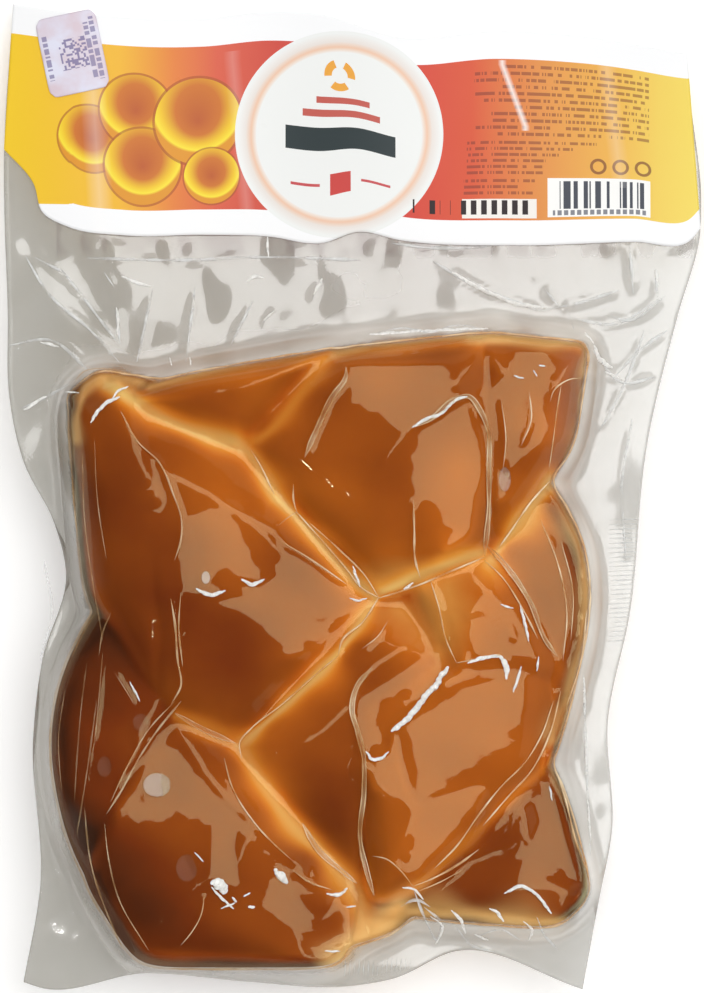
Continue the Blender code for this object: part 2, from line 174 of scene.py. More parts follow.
# Lines where the film is gathered into a fold over the cheese: points and half width.
FOLDS = [
    ([(-1.9, 37.3), (-1.9, 34.9), (-5.9, 28.6), (-10.6, 18.7), (-13.8, 11.2)], 0.5),
    ([(-29.7, 14.1), (-26.2, 8.3), (-22.5, 0.4)], 0.3),
    ([(-17, 3.6), (-17, -1), (-16.1, -4.5)], 0.3),
    ([(-16.1, -4.5), (-18.1, -5.7), (-21.6, -8.6)], 0.25),
    ([(17.3, 19.9), (23.1, 22.8), (29.7, 28), (33.2, 28.9), (37, 24.5), (39, 19.3), (39.3, 7.7),
      (39.3, -2.8), (38.1, -17.3)], 0.42),
    ([(17.5, -1), (17.8, -9.7), (18.1, -18.4), (19.6, -23.6)], 0.35),
    ([(-66.8, 24.5), (-61.6, 15.5), (-55.8, 10), (-51.5, 0.4), (-49.2, -6.8), (-49.4, -12.6),
      (-51.2, -18.4)], 0.3),
    ([(-52.3, -29.4), (-51.2, -35.8), (-50.3, -47.4), (-49.4, -54.4), (-52.3, -59.9)], 0.35),
    ([(-49.4, -27.7), (-50, -37.3), (-48.9, -48.9)], 0.25),
    ([(-16.1, -4.5), (-9.4, -12), (-0.7, -22.2), (2.2, -26), (8, -29.4)], 0.3),
    ([(-12.3, -7.7), (-3.6, -15.5), (3.6, -22.8), (7.4, -28.9)], 0.3),
    ([(7.4, -29.4), (2.8, -36.4), (-3, -41.6), (-4.2, -46)], 0.35),
    ([(7.4, -29.4), (13.8, -27.4), (18.7, -25.7), (28.3, -21.6), (38.1, -17.5)], 0.35),
    ([(-20.7, -12.9), (-15.2, -16.1), (-6.5, -21.9), (-1.6, -25.4)], 0.25),
    ([(10.3, -35.8), (7.4, -40.2), (2.8, -43.9)], 0.2),
    ([(5.7, -49.2), (1.3, -54.7), (-0.1, -61.9), (1.3, -67.1), (3, -73.5), (3.3, -85.1),
      (2.2, -98.2), (4.2, -108.3), (6.2, -115)], 0.42),
    ([(22.5, -24.2), (24.8, -31.5), (27.1, -41.6), (30, -48)], 0.25),
    ([(30, -48), (36.4, -46.8), (42.8, -46), (45.1, -49.7)], 0.3),
    ([(38.7, -14.1), (44.2, -19.9), (51.5, -30.9), (55.8, -41.6), (59.3, -46.3)], 0.42),
    ([(38.1, -18.4), (42.8, -22.8), (48.6, -31.5), (53.5, -41)], 0.28),
    ([(-4.2, -46), (-9.4, -50.3), (-21, -60.5), (-29.1, -66.8), (-32.6, -71.2),
      (-32, -75.5)], 0.25),
    ([(-51.2, -62.5), (-44.2, -66.6), (-33.8, -71.2)], 0.5),
    ([(-37, -75.5), (-34.9, -83.1), (-28.3, -93.8), (-22.5, -100.2), (-17.5, -104.8)], 0.25),
    ([(-14.4, -94.4), (-10, -101.9), (-3.6, -107.7), (1.3, -111.8)], 0.42),
    ([(-17.3, -107.7), (-12.3, -111.2), (-5.9, -113.5)], 0.28),
    ([(5.7, -103.7), (9.4, -104.3), (13.8, -107.7), (17.5, -112.4)], 0.28),
    ([(17.5, -112.4), (23.9, -109.8), (31.2, -105.7), (36.4, -101.9)], 0.38),
    ([(18.4, -114.1), (25.4, -111.2), (31.8, -107.7)], 0.25),
    ([(-49.4, -59), (-55.8, -66.8), (-61.6, -75.5), (-66.8, -85.1), (-70.9, -91.5)], 0.35),
    ([(-51.2, -59), (-58.7, -67.1), (-64.5, -77), (-69.7, -88)], 0.25),
    ([(58.1, -59), (54.4, -69.2), (50, -76.4), (42.8, -83.7), (37, -90.9), (29.7, -101.1),
      (23.6, -107.2)], 0.28),
    ([(60.2, -56.1), (57.3, -67.7), (51.5, -79.3), (45.7, -85.7), (37.6, -95)], 0.3),
    ([(58.4, -77.9), (61.6, -88), (64.5, -99.6), (68.3, -109.8)], 0.35),
    ([(57, 27.4), (57.9, 30.3), (61.9, 33.5), (66.8, 34.4)], 0.25),
    ([(60.2, 32.3), (59, 25.1), (57.9, 16.4), (56.7, 7.7)], 0.2),
    ([(57.3, 4.8), (51.5, -1.6), (46.3, -9.1), (42.2, -14.9)], 0.35),
    ([(-73.8, -32.9), (-76.1, -36.4), (-79, -41.6), (-81.3, -46.8)], 0.35),
    ([(-69.7, -33.5), (-72.1, -39.3), (-73.2, -46)], 0.25),
    ([(-73.8, -59), (-76.1, -76.4), (-77.9, -88), (-79.6, -98.2)], 0.25),
    ([(-75.5, 20.7), (-72.6, 25.7), (-69.7, 28), (-66.8, 29.1)], 0.3),
    ([(-72.1, -45.1), (-73.2, -59), (-74.4, -71.2)], 0.2),
    ([(-76.7, -48), (-78.2, -60.5), (-79.3, -73.5), (-80.2, -88)], 0.22),
    ([(-83.1, -56.1), (-84.8, -69.2), (-84, -85.1)], 0.2),
    ([(-77.3, -89.8), (-75.5, -105.4), (-71.5, -118.5), (-66.3, -131.5)], 0.25),
    ([(-71.5, -94.4), (-70.3, -104), (-67.4, -115.6), (-58.7, -130.9)], 0.22),
    ([(-42.5, -114.1), (-43.6, -120.5), (-46.5, -125.7), (-49.4, -129.2)], 0.22),
    ([(-68.6, -50.9), (-66.3, -54.4), (-62.8, -60.2)], 0.15),
    ([(42.8, 28), (44.2, 16.4), (43.4, 7.7)], 0.18),
    ([(50.9, 30.3), (51.5, 22.2), (48.6, 14.6)], 0.18),
    ([(54.4, -6.8), (59, -18.4), (61.9, -32.9), (60.8, -47.4)], 0.2),
    ([(60.2, -12.6), (63.7, -27.1), (63.1, -41.6)], 0.18),
    ([(67.7, -32.9), (66, -47.4), (61.9, -60.5)], 0.3),
    ([(-80.8, 32.9), (-77.9, 36.1), (-72.1, 37), (-64.5, 35.5), (-55.8, 32.9)], 0.2),
    ([(-77.9, 12), (-77.3, -6.8), (-75, -24.2), (-72.1, -41.6)], 0.2),
    ([(-74.4, 16.4), (-73.5, -1), (-70.9, -18.4)], 0.18),
]
FOLD_HEIGHT, FOLD_FLANK = 0.35, 0.9     # how the film itself rises under such a fold
FOLD_FAINTEST = 0.2         # how clear a fold on the far left is
FOLDS_CLEAR_FROM, FOLDS_CLEAR_OVER = -78.0, 36.0
RIDGE_POINTS, RIDGE_ENDS = 60, 6        # a ridge fades out over a sixth of its length
BROAD_FOLD = 0.40           # a fold at least this wide is a band between two bright threads
# White glints where the film is crumpled, painted nearly white and tilted to mirror the lamp:
# points and half width.
GLINTS = [
    ([(-44.8, -26.6), (-40.7, -28.3), (-36.7, -27.1)], 0.5),
    ([(-31.8, -24.0), (-28.6, -25.3), (-25.4, -23.9)], 0.5),
    ([(-40.2, -110.4), (-38.4, -112.0), (-36.6, -114.0)], 1.6),
    ([(-40.5, -112.6), (-37.4, -115.8), (-34.4, -118.6)], 0.35),
    ([(-29.8, -118.4), (-28.4, -118.2)], 0.7),
    ([(-34.4, -115.6), (-33.6, -116.4)], 0.5),
    ([(-38.7, -110.1), (-35.9, -112.0)], 0.5),
    ([(-22.6, -107.6), (-20.8, -109.2), (-18.9, -111.4)], 1.1),
    ([(11.2, -67.7), (14.4, -65.4), (17.3, -62.2), (20.7, -58.1), (24.2, -54.1),
      (27.4, -49.2)], 0.75),
    ([(33.2, -48), (37.6, -46.5), (42.8, -46)], 0.45),
    ([(42.6, -46.2), (44.2, -48.8), (44.6, -52.6)], 0.8),
    ([(0.1, -20.2), (2.2, -26.0)], 0.35),
    ([(14.9, -26.5), (17.5, -25.1)], 0.5),
    ([(3.9, -73.5), (5.9, -75.8), (8, -75.5), (10.3, -73.5)], 0.4),
    ([(17.3, 19.9), (20.2, 21.9), (25.4, 23.9), (29.7, 27.7), (32.9, 28.9)], 0.4),
    ([(-75.5, 21.3), (-73.2, 24.8), (-70.3, 27.4), (-67.4, 28.6)], 0.45),
    ([(42.8, -31.2), (46.3, -32.3)], 0.35),
    ([(48.3, -31.5), (49.7, -36.4), (50.9, -41.6)], 0.35),
    ([(48.6, -49.2), (47.4, -53.2), (46.3, -56.4)], 0.35),
    ([(53.8, -46.3), (53.2, -50.3)], 0.3),
    ([(57, -84), (57.6, -87.7)], 0.3),
    ([(-7.4, -114.6), (-4.2, -115), (-1.6, -113.4)], 0.5),
    ([(-1.6, -118.5), (0.7, -118.2)], 0.35),
    ([(-7.7, -131.2), (-3.6, -131.2)], 0.3),
    ([(-0.7, -29.4), (1.6, -30), (3.9, -29.4)], 0.3),
    ([(-66.8, 63.9), (-63.1, 62.2), (-58.7, 61)], 0.4),
    ([(-52.9, 40.2), (-52.3, 37.8)], 0.3),
    ([(-47.1, 40.2), (-46.8, 37.8)], 0.3),
    ([(-22.8, 53.8), (-25.7, 51.2)], 0.3),
    ([(5.1, 46.8), (13.8, 47.4), (25.4, 48), (39, 48.6)], 0.5),
    ([(-69.7, 27.4), (-67.4, 30.6), (-64.8, 31.8)], 0.35),
    ([(43.9, -114.4), (48.6, -112.4), (52.9, -114.7), (57.3, -120.2)], 0.4),
    ([(39.6, -118.8), (41.6, -119.9), (43.6, -122.5)], 0.45),
    ([(46.8, 34.7), (49.2, 34.1)], 0.35),
    ([(52.3, 36.4), (53.2, 34.7)], 0.35),
    ([(54.1, 37.8), (55.2, 37.6)], 0.4),
    ([(-64.2, -53.5), (-63.1, -55.5), (-61.3, -59)], 0.25),
    ([(-37.8, -118.5), (-33.8, -117)], 0.3),
    ([(-31.2, -115), (-29.7, -114.1)], 0.4),
    ([(-83.1, 30.3), (-79, 30)], 0.25),
    ([(22.5, -121.4), (26, -124.3), (24.2, -129.8)], 0.3),
    ([(29.1, 65.1), (34.1, 61.9), (39.9, 59), (47.1, 56.1), (55.8, 54.7)], 0.45),
    ([(-8.8, 63.1), (-11.2, 58.7)], 0.45),
    ([(-30.6, 62.5), (-28.6, 63.9), (-26, 63.4)], 0.5),
    ([(-24.8, 75.5), (-24.5, 69.5)], 0.35),
    ([(70, 43.6), (71.8, 39.6), (75.3, 37.3)], 0.7),
    ([(67.4, 47.4), (69.7, 44.5)], 0.45),
    ([(73.5, 36.1), (78.2, 33.8)], 0.4),
    ([(-95.3, 25.1), (-91.8, 27.4), (-88.9, 29.1)], 0.4),
    ([(-68.6, 54.7), (-68, 50.6), (-68.3, 47.1)], 0.35),
    ([(-45.4, -102.5), (-43.1, -104.8)], 0.3),
    ([(88, 65.7), (88.6, 61.6)], 0.35),
    ([(28.6, -119.4), (31.4, -122.6), (32.6, -126.4)], 0.4),
    ([(35.4, -127.0), (39.2, -128.6)], 0.35),
    ([(14.6, -112.6), (17.8, -113.4), (20.4, -116.2)], 0.35),
    ([(49.4, -122.6), (52.0, -125.6), (51.2, -128.4)], 0.3),
    ([(66.9, -52), (67.3, -63)], 0.35),
    ([(67.5, -70), (67.8, -79)], 0.25),
    ([(68.2, -88), (68.9, -100)], 0.3),
    ([(-90.6, 44.8), (-85.4, 43.6)], 0.35),
]
# Pale ovals, painted reflections of a round lamp: middle, half width, half length and strength.
PALE_OVALS = [((-42.2, -23.3), 1.3, 1.9, 0.34), ((-56.3, -83.1), 4.1, 3.5, 0.25),
              ((43.9, 5.0), 1.8, 3.6, 0.18), ((-71.5, -77.9), 2.1, 3.1, 0.04),
              ((-47.7, -106.9), 3.2, 4.0, 0.05), ((-61.0, -65.1), 2.4, 2.6, 0.04)]
# Patches of the film over the cheese that mirror the softbox: their corners.
MIRRORING = [
    [(-1.5, 38), (25.5, 38.5), (27.5, 36), (29, 29.5), (19, 20.5), (12.5, 19), (7.5, 24.5),
     (0, 26.5)],
    [(19.5, 20), (32.5, 28), (34, 20.5), (37, 15), (37.5, 5), (34.5, -1), (34, -10.5),
     (26.5, -16), (25.5, -7), (23.5, -1.5), (20.5, -1), (18, -4.5), (17, 10.5)],
    [(-47, -5.5), (-37, -3), (-33.5, -7), (-30.5, -14), (-27, -22), (-26, -25), (-32, -23.5),
     (-36, -20), (-40, -21.5), (-40.5, -25), (-38, -27), (-44, -28), (-48.5, -27),
     (-49.5, -18.5)],
    [(-33.5, -4.5), (-26, -7), (-22, -9.5), (-21, -12.5), (-23, -11.5), (-31, -7)],
    [(-21, -12.5), (-10, -19), (-2, -25.5), (5, -29), (-0.5, -33.5), (-6.5, -37.5), (-7, -41.5),
     (-9, -44), (-13, -41.5), (-14, -45), (-19.5, -46), (-22, -41.5), (-26, -37.5), (-32.5, -33),
     (-40, -30), (-32, -29), (-32, -25.5), (-26, -26.5), (-22.5, -23), (-21.5, -18.5)],
    [(0, -59), (5.5, -56), (14, -50.5), (25.5, -43), (27.5, -48.5), (19, -59.5), (17.5, -59),
     (15, -56), (7.5, -59), (6.5, -65.5), (9.5, -71), (3.5, -73.5), (0.5, -63.5)],
    [(34, -49.5), (43, -49.5), (51.5, -56), (48.5, -65.5), (44, -74), (40.5, -82), (28.5, -97.5),
     (17.5, -109.5), (16, -106), (17.5, -98), (17.5, -90), (13, -87), (6.5, -84), (4, -77),
     (11, -74), (11.5, -69.5), (21, -61.5), (27.5, -52.5)],
    [(36.5, -29.5), (40, -27), (43, -30), (46.5, -34.5), (45, -44.5), (41.5, -46), (34, -48),
     (32.5, -46)],
    [(-56, -69), (-50, -73.5), (-44, -81), (-38, -87), (-30.5, -94), (-23.5, -102.5),
     (-16.5, -108.5), (-6.5, -114.5), (0, -118.5), (0, -127), (-3, -134), (-10, -134.5),
     (-16, -125.5), (-26, -118), (-24, -111), (-24.5, -104), (-28.5, -99), (-33, -96),
     (-34.5, -101), (-32.5, -112.5), (-40, -110.5), (-40.5, -94.5), (-44, -94), (-48.5, -92),
     (-56, -93.5), (-67, -93), (-68, -90), (-62.5, -83.5), (-58.5, -73.5)],
    [(56, -77), (58.5, -78.5), (63, -89.5), (66.5, -102.5), (68.5, -112.5), (47, -113.5),
     (50.5, -102.5), (54, -94), (52, -89), (45.5, -92.5), (37, -102), (35, -103), (43, -88),
     (49, -81.5)],
    [(42, -15), (51.5, -7), (56.5, -2.5), (61, -5.5), (65.5, -15.5), (67, -27), (65.5, -41.5),
     (61.5, -56), (58, -59), (57.5, -47.5), (53, -36), (47, -25.5)],
    [(44, 35), (47, 42.5), (56.5, 42), (58.5, 36), (54.5, 28), (56.5, 19.5), (54.5, 15),
     (47, 10), (45, 5), (44, -1), (42, -1), (41.5, 16.5), (39.5, 22), (34, 29.5), (39.5, 31.5)],
]
# Patches where the film lies double or is pulled over the edge: corners and haze.
HAZED = [
    ([(58, 29.5), (61, 34), (68.5, 34.5), (66.5, 22), (63, 13.5), (57.5, 5.5), (53, -1),
      (51, -0.5), (56.5, 12), (58, 22)], 0.05),
    ([(60, 44), (68.5, 43.5), (68.5, 34.5), (61, 34)], 0.05),
    ([(-82.5, 16.5), (-78.5, 14.5), (-75.5, -7), (-73, -26), (-78, -30), (-81.5, -7)], 0.06),
    ([(-85, -88), (-78, -91.5), (-75.5, -111), (-69.5, -123.5), (-63.5, -133.5), (-68, -134),
      (-75.5, -121.5), (-82.5, -102.5)], 0.06),
    ([(64.5, -79.5), (69.5, -79.5), (69.5, -111), (66.5, -102.5)], 0.10),
]
# Folds in the rim's film: points, height and half width of the ridge.
RIM_FOLDS = [
    ([(-95, 69.8), (-88.3, 59), (-75.5, 47.7), (-67.7, 39)], 0.8, 1.6),
    ([(-92.4, 69.5), (-82.8, 64.5)], 0.5, 1.5),
    ([(-72.1, 65.1), (-69.2, 60.8)], 0.6, 1.3),
    ([(-68.9, 54.4), (-68, 47.7)], 0.6, 1.3),
    ([(-99.9, 43.9), (-87.7, 45.4), (-76.1, 36.1)], 0.9, 1.5),
    ([(23.3, 68.3), (34.1, 61.9), (47, 56.7), (55.8, 54.1), (59.9, 55)], 1, 1.5),
    ([(59.9, 55), (64.1, 55.8), (77.3, 59.9)], 0.8, 1.4),
    ([(55.8, 60.2), (59.9, 55)], 0.7, 1.3),
    ([(62.8, 52.1), (75, 50), (91, 58.2)], 0.8, 1.4),
    ([(68.9, 43.1), (79, 32.9), (88, 34.8)], 0.9, 1.4),
    ([(71.8, 19.3), (79, 32.9), (84.8, 48.3)], 0.7, 1.4),
    ([(5, 46.8), (15, 48.6), (22.5, 47.4), (29.7, 49.4), (39, 48.3)], 0.9, 1.2),
    ([(-9.9, 61.3), (-11.6, 57.6)], 0.6, 1.2),
    ([(-23, 53.8), (-26, 50.3)], 0.6, 1.2),
    ([(66.8, -51.5), (67.7, -76.4), (68.9, -103.7)], 0.7, 1.2),
    ([(17.8, -113.8), (20.7, -121.4), (24.2, -128.6)], 0.6, 1.1),
    ([(20.7, -118.5), (25.7, -123.7), (24.2, -128.6), (21.9, -124.6)], 0.6, 1.1),
    ([(29.7, -124.3), (34.7, -130.1), (41, -132.1)], 0.6, 1.1),
    ([(53.2, -121.4), (55.8, -127.2), (59.6, -131.5)], 0.6, 1.1),
    ([(37, -127.2), (42.8, -125.1), (48.6, -128.6)], 0.6, 1.1),
    ([(13.8, -118.5), (18.4, -116.4), (22.5, -118.5)], 0.6, 1.1),
    ([(-84.8, 66.3), (-77.6, 57), (-67.7, 44.2)], 0.8, 1.6),
    ([(-68.6, 54.7), (-67.4, 43.9)], 0.5, 1.2),
    ([(-58.1, 59.9), (-62.5, 39)], 0.7, 1.5),
    ([(-45.7, 61), (-48.3, 39)], 0.7, 1.5),
    ([(-28.9, 56.7), (-35.2, 44.2)], 0.6, 1.4),
    ([(-77, 69.2), (-50, 68.6), (-23.9, 69.5), (2.2, 68.6)], 0.5, 1.2),
    ([(62.8, 53.5), (64.2, 48.3)], 0.6, 1.3),
    ([(88, 66), (88.6, 57)], 0.6, 1.3),
    ([(80.5, 72.4), (81.6, 59)], 0.6, 1.3),
    ([(73.2, 52.6), (80.5, 51.2), (90, 57.3)], 0.7, 1.4),
    ([(11.5, 73.5), (19.6, 72.4), (29.7, 72.1), (39.9, 72.6)], 0.5, 1.2),
    ([(-95.8, 25.7), (-88.3, 29.1), (-80.2, 33.5)], 0.8, 1.4),
    ([(81.1, 22.2), (78.2, 4.8), (79.3, -18.4)], 0.6, 1.3),
    ([(-89.5, -18.4), (-87.1, -32.9), (-90.6, -47.4)], 0.6, 1.3),
    ([(75.3, 33.8), (83.4, 42.5), (91.5, 48.3)], 0.7, 1.4),
]
# Creases between strands: points, half width of the pale glow and its strength. The glow is partly
# the rind's own paler colour where the strands touched, partly painted light.
CREASES = [
    ([(-70.3, 32.3), (-65.1, 28.9), (-52.9, 21.6), (-42.5, 17.5), (-32, 14.1),
      (-22.2, -0.1)], 2.6, 0.95),
    ([(-32, 14.1), (-24.8, 18.1), (-15.2, 29.4), (-8, 39.3)], 2, 0.5),
    ([(-22.2, -0.1), (-15.2, -6.8), (-2.2, -21.3), (6.8, -29.4)], 2.4, 1),
    ([(6.8, -29.4), (-3.6, -44.5), (-18.1, -59), (-32.6, -72.1)], 2.4, 0.9),
    ([(-50.6, -63.4), (-42.8, -67.1), (-32.6, -72.1)], 2, 0.6),
    ([(-32.6, -72.1), (-25.4, -83.7), (-18.1, -93.8), (-6.5, -105.4), (2.2, -117),
      (3.6, -125.7)], 3.2, 0.8),
    ([(7.5, -28.2), (18.7, -23.2), (38.1, -16)], 2.8, 0.9),
    ([(57.3, 4.2), (44.2, -12.6), (39.9, -18.4)], 3.4, 0.9),
    ([(-58.7, 32.9), (-17.8, 39.3), (13.8, 43.9), (39.9, 47.4), (68, 43.9)], 2, 0.4),
    ([(-79, 28), (-73.2, 33.8), (-58.7, 33.8)], 2.4, 0.3),
    ([(58.4, -75.8), (48, -84.5), (37.6, -95), (18.4, -113.2)], 1.6, 0.3),
]
# Where the skin is cream, near the weld: points, half width and strength. Partly the skin's own
# cream, partly painted light, as along the right side.
PALE_SKIN = [
    ([(-1.9, -133.8), (1, -129.2), (8, -124.3), (13.2, -118.8)], 5, 1),
    ([(13.8, -120.2), (22.5, -119.8), (34.1, -120), (47.1, -122.4), (60.5, -123.2)], 3.8, 0.75),
    ([(-79.6, 16.5), (-79, 25.1), (-75.5, 32.6), (-67.4, 34.4), (-61, 32.8)], 1.7, 0.65),
    ([(-58.7, 31.5), (-34.1, 38.4), (-15.2, 42.5), (13.8, 44.8), (35.5, 46.5)], 1.1, 0.7),
    ([(34.1, 46.3), (54.4, 44.8), (68.3, 43.6), (68.3, 36.1)], 2.2, 1),
    ([(68.3, 36.1), (67.2, 19.3), (63.2, 8.3)], 1.8, 0.55),
    ([(68.6, -112.7), (66.4, -99.6), (62.5, -84.1)], 1.6, 0.55),
    ([(60.5, 3), (66, -10), (68.3, -25), (67.7, -40), (64, -56), (58, -70)], 3, 0.7),
]
# How dark each lobe's rind is drawn: 0 is mahogany, 1 is pale amber. Partly the smoke's own tone,
# partly painted light that makes the lobes on the right paler.
LOBE_TONES = {"left_long": 0.38, "left_ridge": 0.40, "top_wedge": 0.55, "top_middle": 0.50,
              "top_right": 0.48, "centre": 0.46, "middle": 0.47, "right_large": 0.62,
              "right_top": 0.60, "right_outer": 0.50, "low_right": 0.34, "low_left": 0.40,
              "left_outer": 0.26, "low_tip": 0.95, "corner": 0.60}
# Spots of darker (negative) or paler tone: middle, radius and change of tone. Some are the smoke's
# own; those that pale the rind beside creases are painted light, and the darkest at the lower left
# painted shade.
TONE_AND_LIGHT_SPOTS = [
    ((-46.0, -42.5), 16.0, -0.22), ((2.0, -5.0), 14.0, 0.03), ((-8.0, -88.0), 13.0, -0.14),
    ((-60.0, -122.0), 24.0, -0.14), ((22.5, -27.0), 13.0, 0.25), ((-34.0, 5.0), 13.0, 0.20),
    ((-28.3, -90.0), 12.0, 0.15), ((30.0, 0.0), 13.0, 0.15), ((60.0, 22.2), 12.0, 0.20),
    ((-78.0, -5.0), 12.0, -0.12), ((-45.0, -128.0), 12.0, -0.05), ((27.0, -38.0), 12.0, 0.20),
    ((12.0, -45.0), 11.0, 0.18), ((-13.0, -3.0), 9.0, 0.16), ((8.0, -19.0), 9.0, 0.18),
    ((12.5, -31.5), 6.5, 0.35), ((-73.0, -110.0), 14.0, -0.28),
]

# --- light and camera ---
CAMERA_HEIGHT = 3000.0
VIEW_HEIGHT = 288.0         # what the picture's height covers at the seam's level
SENSOR = 36.0
LIGHT_HEIGHT = 5000.0
SOFTBOX_X = (-0.14, 0.90)   # the softbox's edges, as shares of its height
SOFTBOX_Y = (-0.10, 0.75)
SOFTBOX_RADIANCE = 3.3      # seen in gloss alone
KEY_RADIANCE = 2.0          # from the same place, for everything that isn't gloss
LAMP = (-0.30, -0.25)       # the small lamp that the painted white glints are tilted to mirror
LAMP_RADIUS = 0.012
LAMP_RADIANCE = 40.0
FLOOR_GLOW = 0.20           # a lit table, so the shadow on it stays faint
ROOM = 0.70                 # what the room adds all round, for everything that isn't gloss
SKY_RADIANCE, SKY_WIDTH = 0.08, 26000.0     # the dim ceiling that gloss mirrors
# Radiance and height of the right, far, left and near wall, which gloss alone mirrors.
WALLS = ((0.50, 6500.0), (0.42, 6500.0), (0.12, 3200.0), (0.05, 3200.0))
WALL_DISTANCE = 7000.0


# --- shapes shared by the film and the braid ---

def rim_height(x, y):
    """Height of the rim's middle surface.

    The seam's height, less a droop that grows with the distance from the cheese (a rounded
    oblong's gauge), plus a ripple across the header and a wave along the sides.
    """
    across = np.abs(x - CHEESE_MIDDLE[0]) / CHEESE_HALF[0]
    along = np.abs(y - CHEESE_MIDDLE[1]) / CHEESE_HALF[1]
    outside = np.maximum(0.0, (across ** 4 + along ** 4) ** 0.25 - 1.0)
    header = np.clip((y - RIPPLE_START) / (RIPPLE_FULL - RIPPLE_START), 0.0, 1.0)
    ripple = RIPPLE_HEIGHT * header * np.sin(2 * math.pi * x / RIPPLE_LENGTH + RIPPLE_PHASE)
    wave = SIDE_WAVE_HEIGHT * np.clip(outside * SIDE_WAVE_ONSET, 0, 1) * (1 - header)
    wave = wave * np.sin(2 * math.pi * y / SIDE_WAVE_LENGTH)
    return SEAM_HEIGHT - DROOP * outside + ripple + wave


def smooth_curve(points, share):
    """Points at the given shares (0 to 1) of the length of a smooth curve through points.

    Each coordinate is a cubic between the points, with a Catmull-Rom slope on the chords.
    """
    points = np.array(points, float)
    chord = np.linalg.norm(np.diff(points, axis=0), axis=1)
    knots = np.concatenate([[0.0], np.cumsum(chord)])
    slope = np.gradient(points, knots, axis=0)
    at = np.clip(np.asarray(share) * knots[-1], 0, knots[-1])
    i = np.clip(np.searchsorted(knots, at, side="right") - 1, 0, len(chord) - 1)
    step = chord[i][:, None]
    t = ((at - knots[i]) / chord[i])[:, None]
    return ((2 * t ** 3 - 3 * t ** 2 + 1) * points[i]
            + (t ** 3 - 2 * t ** 2 + t) * step * slope[i]
            + (3 * t ** 2 - 2 * t ** 3) * points[i + 1]
            + (t ** 3 - t ** 2) * step * slope[i + 1])


def line_length(points):
    """Length of the straight runs between the points."""
    return float(np.linalg.norm(np.diff(np.array(points, float), axis=0), axis=1).sum())


def nearest_on_line(x, y, points):
    """Distance from x, y to a line of straight runs, and the share of its length there."""
    points = np.array(points, float)
    runs = np.linalg.norm(np.diff(points, axis=0), axis=1)
    nearest = np.full(np.shape(x), 1e9)
    share = np.zeros(np.shape(x))
    passed = 0.0
    for start, end, run in zip(points[:-1], points[1:], runs):
        along = ((x - start[0]) * (end[0] - start[0]) + (y - start[1]) * (end[1] - start[1]))
        along = np.clip(along / run ** 2, 0, 1)
        gap = np.hypot(x - start[0] - along * (end[0] - start[0]),
                       y - start[1] - along * (end[1] - start[1]))
        closer = gap < nearest
        nearest = np.where(closer, gap, nearest)
        share = np.where(closer, (passed + along * run) / runs.sum(), share)
        passed += run
    return nearest, share


def along_way(x, y, way, start, over):
    """0 up to start and 1 from start + over on, measured along a direction of the plan."""
    return np.clip((way[0] * x + way[1] * y - start) / over, 0, 1)


def waves(x, y, seed, count, shortest, longest):
    """Smooth unevenness: a sum of sines of drawn direction, length and phase, spread 1."""
    draw = np.random.default_rng(seed)
    total = np.zeros(np.shape(x))
    for _ in range(count):
        turn, start = draw.uniform(0, 2 * math.pi, 2)
        turns = 2 * math.pi / draw.uniform(shortest, longest)
        total += np.sin((x * math.cos(turn) + y * math.sin(turn)) * turns + start)
    return total * math.sqrt(2 / count)


def uneven(x, y, ripple):
    """Waves by a ripple's settings, times its height."""
    height, *settings = ripple
    return height * waves(x, y, *settings)


def facets(x, y, seed, count, shortest, longest, spread):
    """Like waves, but triangular, so that flat panes meet at soft edges.

    They run along +X, give or take the spread.
    """
    draw = np.random.default_rng(seed)
    total = np.zeros(np.shape(x))
    for _ in range(count):
        turn, start = draw.uniform(-spread, spread), draw.uniform(0, 2 * math.pi)
        turns = 2 * math.pi / draw.uniform(shortest, longest)
        sine = np.sin((x * math.cos(turn) + y * math.sin(turn)) * turns + start)
        total += np.arcsin(PANE_SOFTNESS * sine) * 2 / math.pi
    return total * math.sqrt(3 / count)


def crumpled(x, y, layers):
    """The sum of the layers of facets, each times its height."""
    return sum(height * facets(x, y, *layer) for height, *layer in layers)


def unit(ways):
    """Each way, made 1 long."""
    return ways / np.linalg.norm(ways, axis=-1, keepdims=True)


def left_of(ways):
    """Each way turned a quarter to its left."""
    return np.stack([-ways[..., 1], ways[..., 0]], axis=-1)


def edge_normals(corners):
    """Outward unit normals of a polygon's edges, its corners running anticlockwise."""
    return unit(-left_of(np.roll(corners, -1, axis=0) - corners))


def anticlockwise(corners):
    """The corners as an array that runs anticlockwise."""
    corners = np.array(corners, float)
    x, y = corners.T
    signed_area = np.sum(x * np.roll(y, -1) - np.roll(x, -1) * y)
    return corners[::-1] if signed_area < 0 else corners


def centroid(corners):
    """The polygon's centre of area."""
    x, y = corners.T
    cross = x * np.roll(y, -1) - np.roll(x, -1) * y
    area = cross.sum() / 2
    return np.array([((x + np.roll(x, -1)) * cross).sum(),
                     ((y + np.roll(y, -1)) * cross).sum()]) / (6 * area)


def lies_in(point, corners):
    """Whether a point lies in a convex polygon."""
    return bool(np.all(((point - corners) * edge_normals(corners)).sum(axis=1) < 0))


def lobe_gauge(name, lobes, grow=0.0):
    """A lobe's centre, edge normals and edge distances, grown outwards by grow.

    An edge with another lobe just outside it is pushed a little under that neighbour.
    """
    corners = anticlockwise(lobes[name][0])
    centre = centroid(corners)
    normals = edge_normals(corners)
    distances = ((corners - centre) * normals).sum(axis=1)
    others = [anticlockwise(lobe[0]) for other, lobe in lobes.items() if other != name]
    middles = (corners + np.roll(corners, -1, axis=0)) / 2 + BESIDE * normals
    shared = [any(lies_in(middle, other) for other in others) for middle in middles]
    return centre, normals, distances + np.where(shared, UNDER_NEIGHBOUR, OUTWARD) + grow


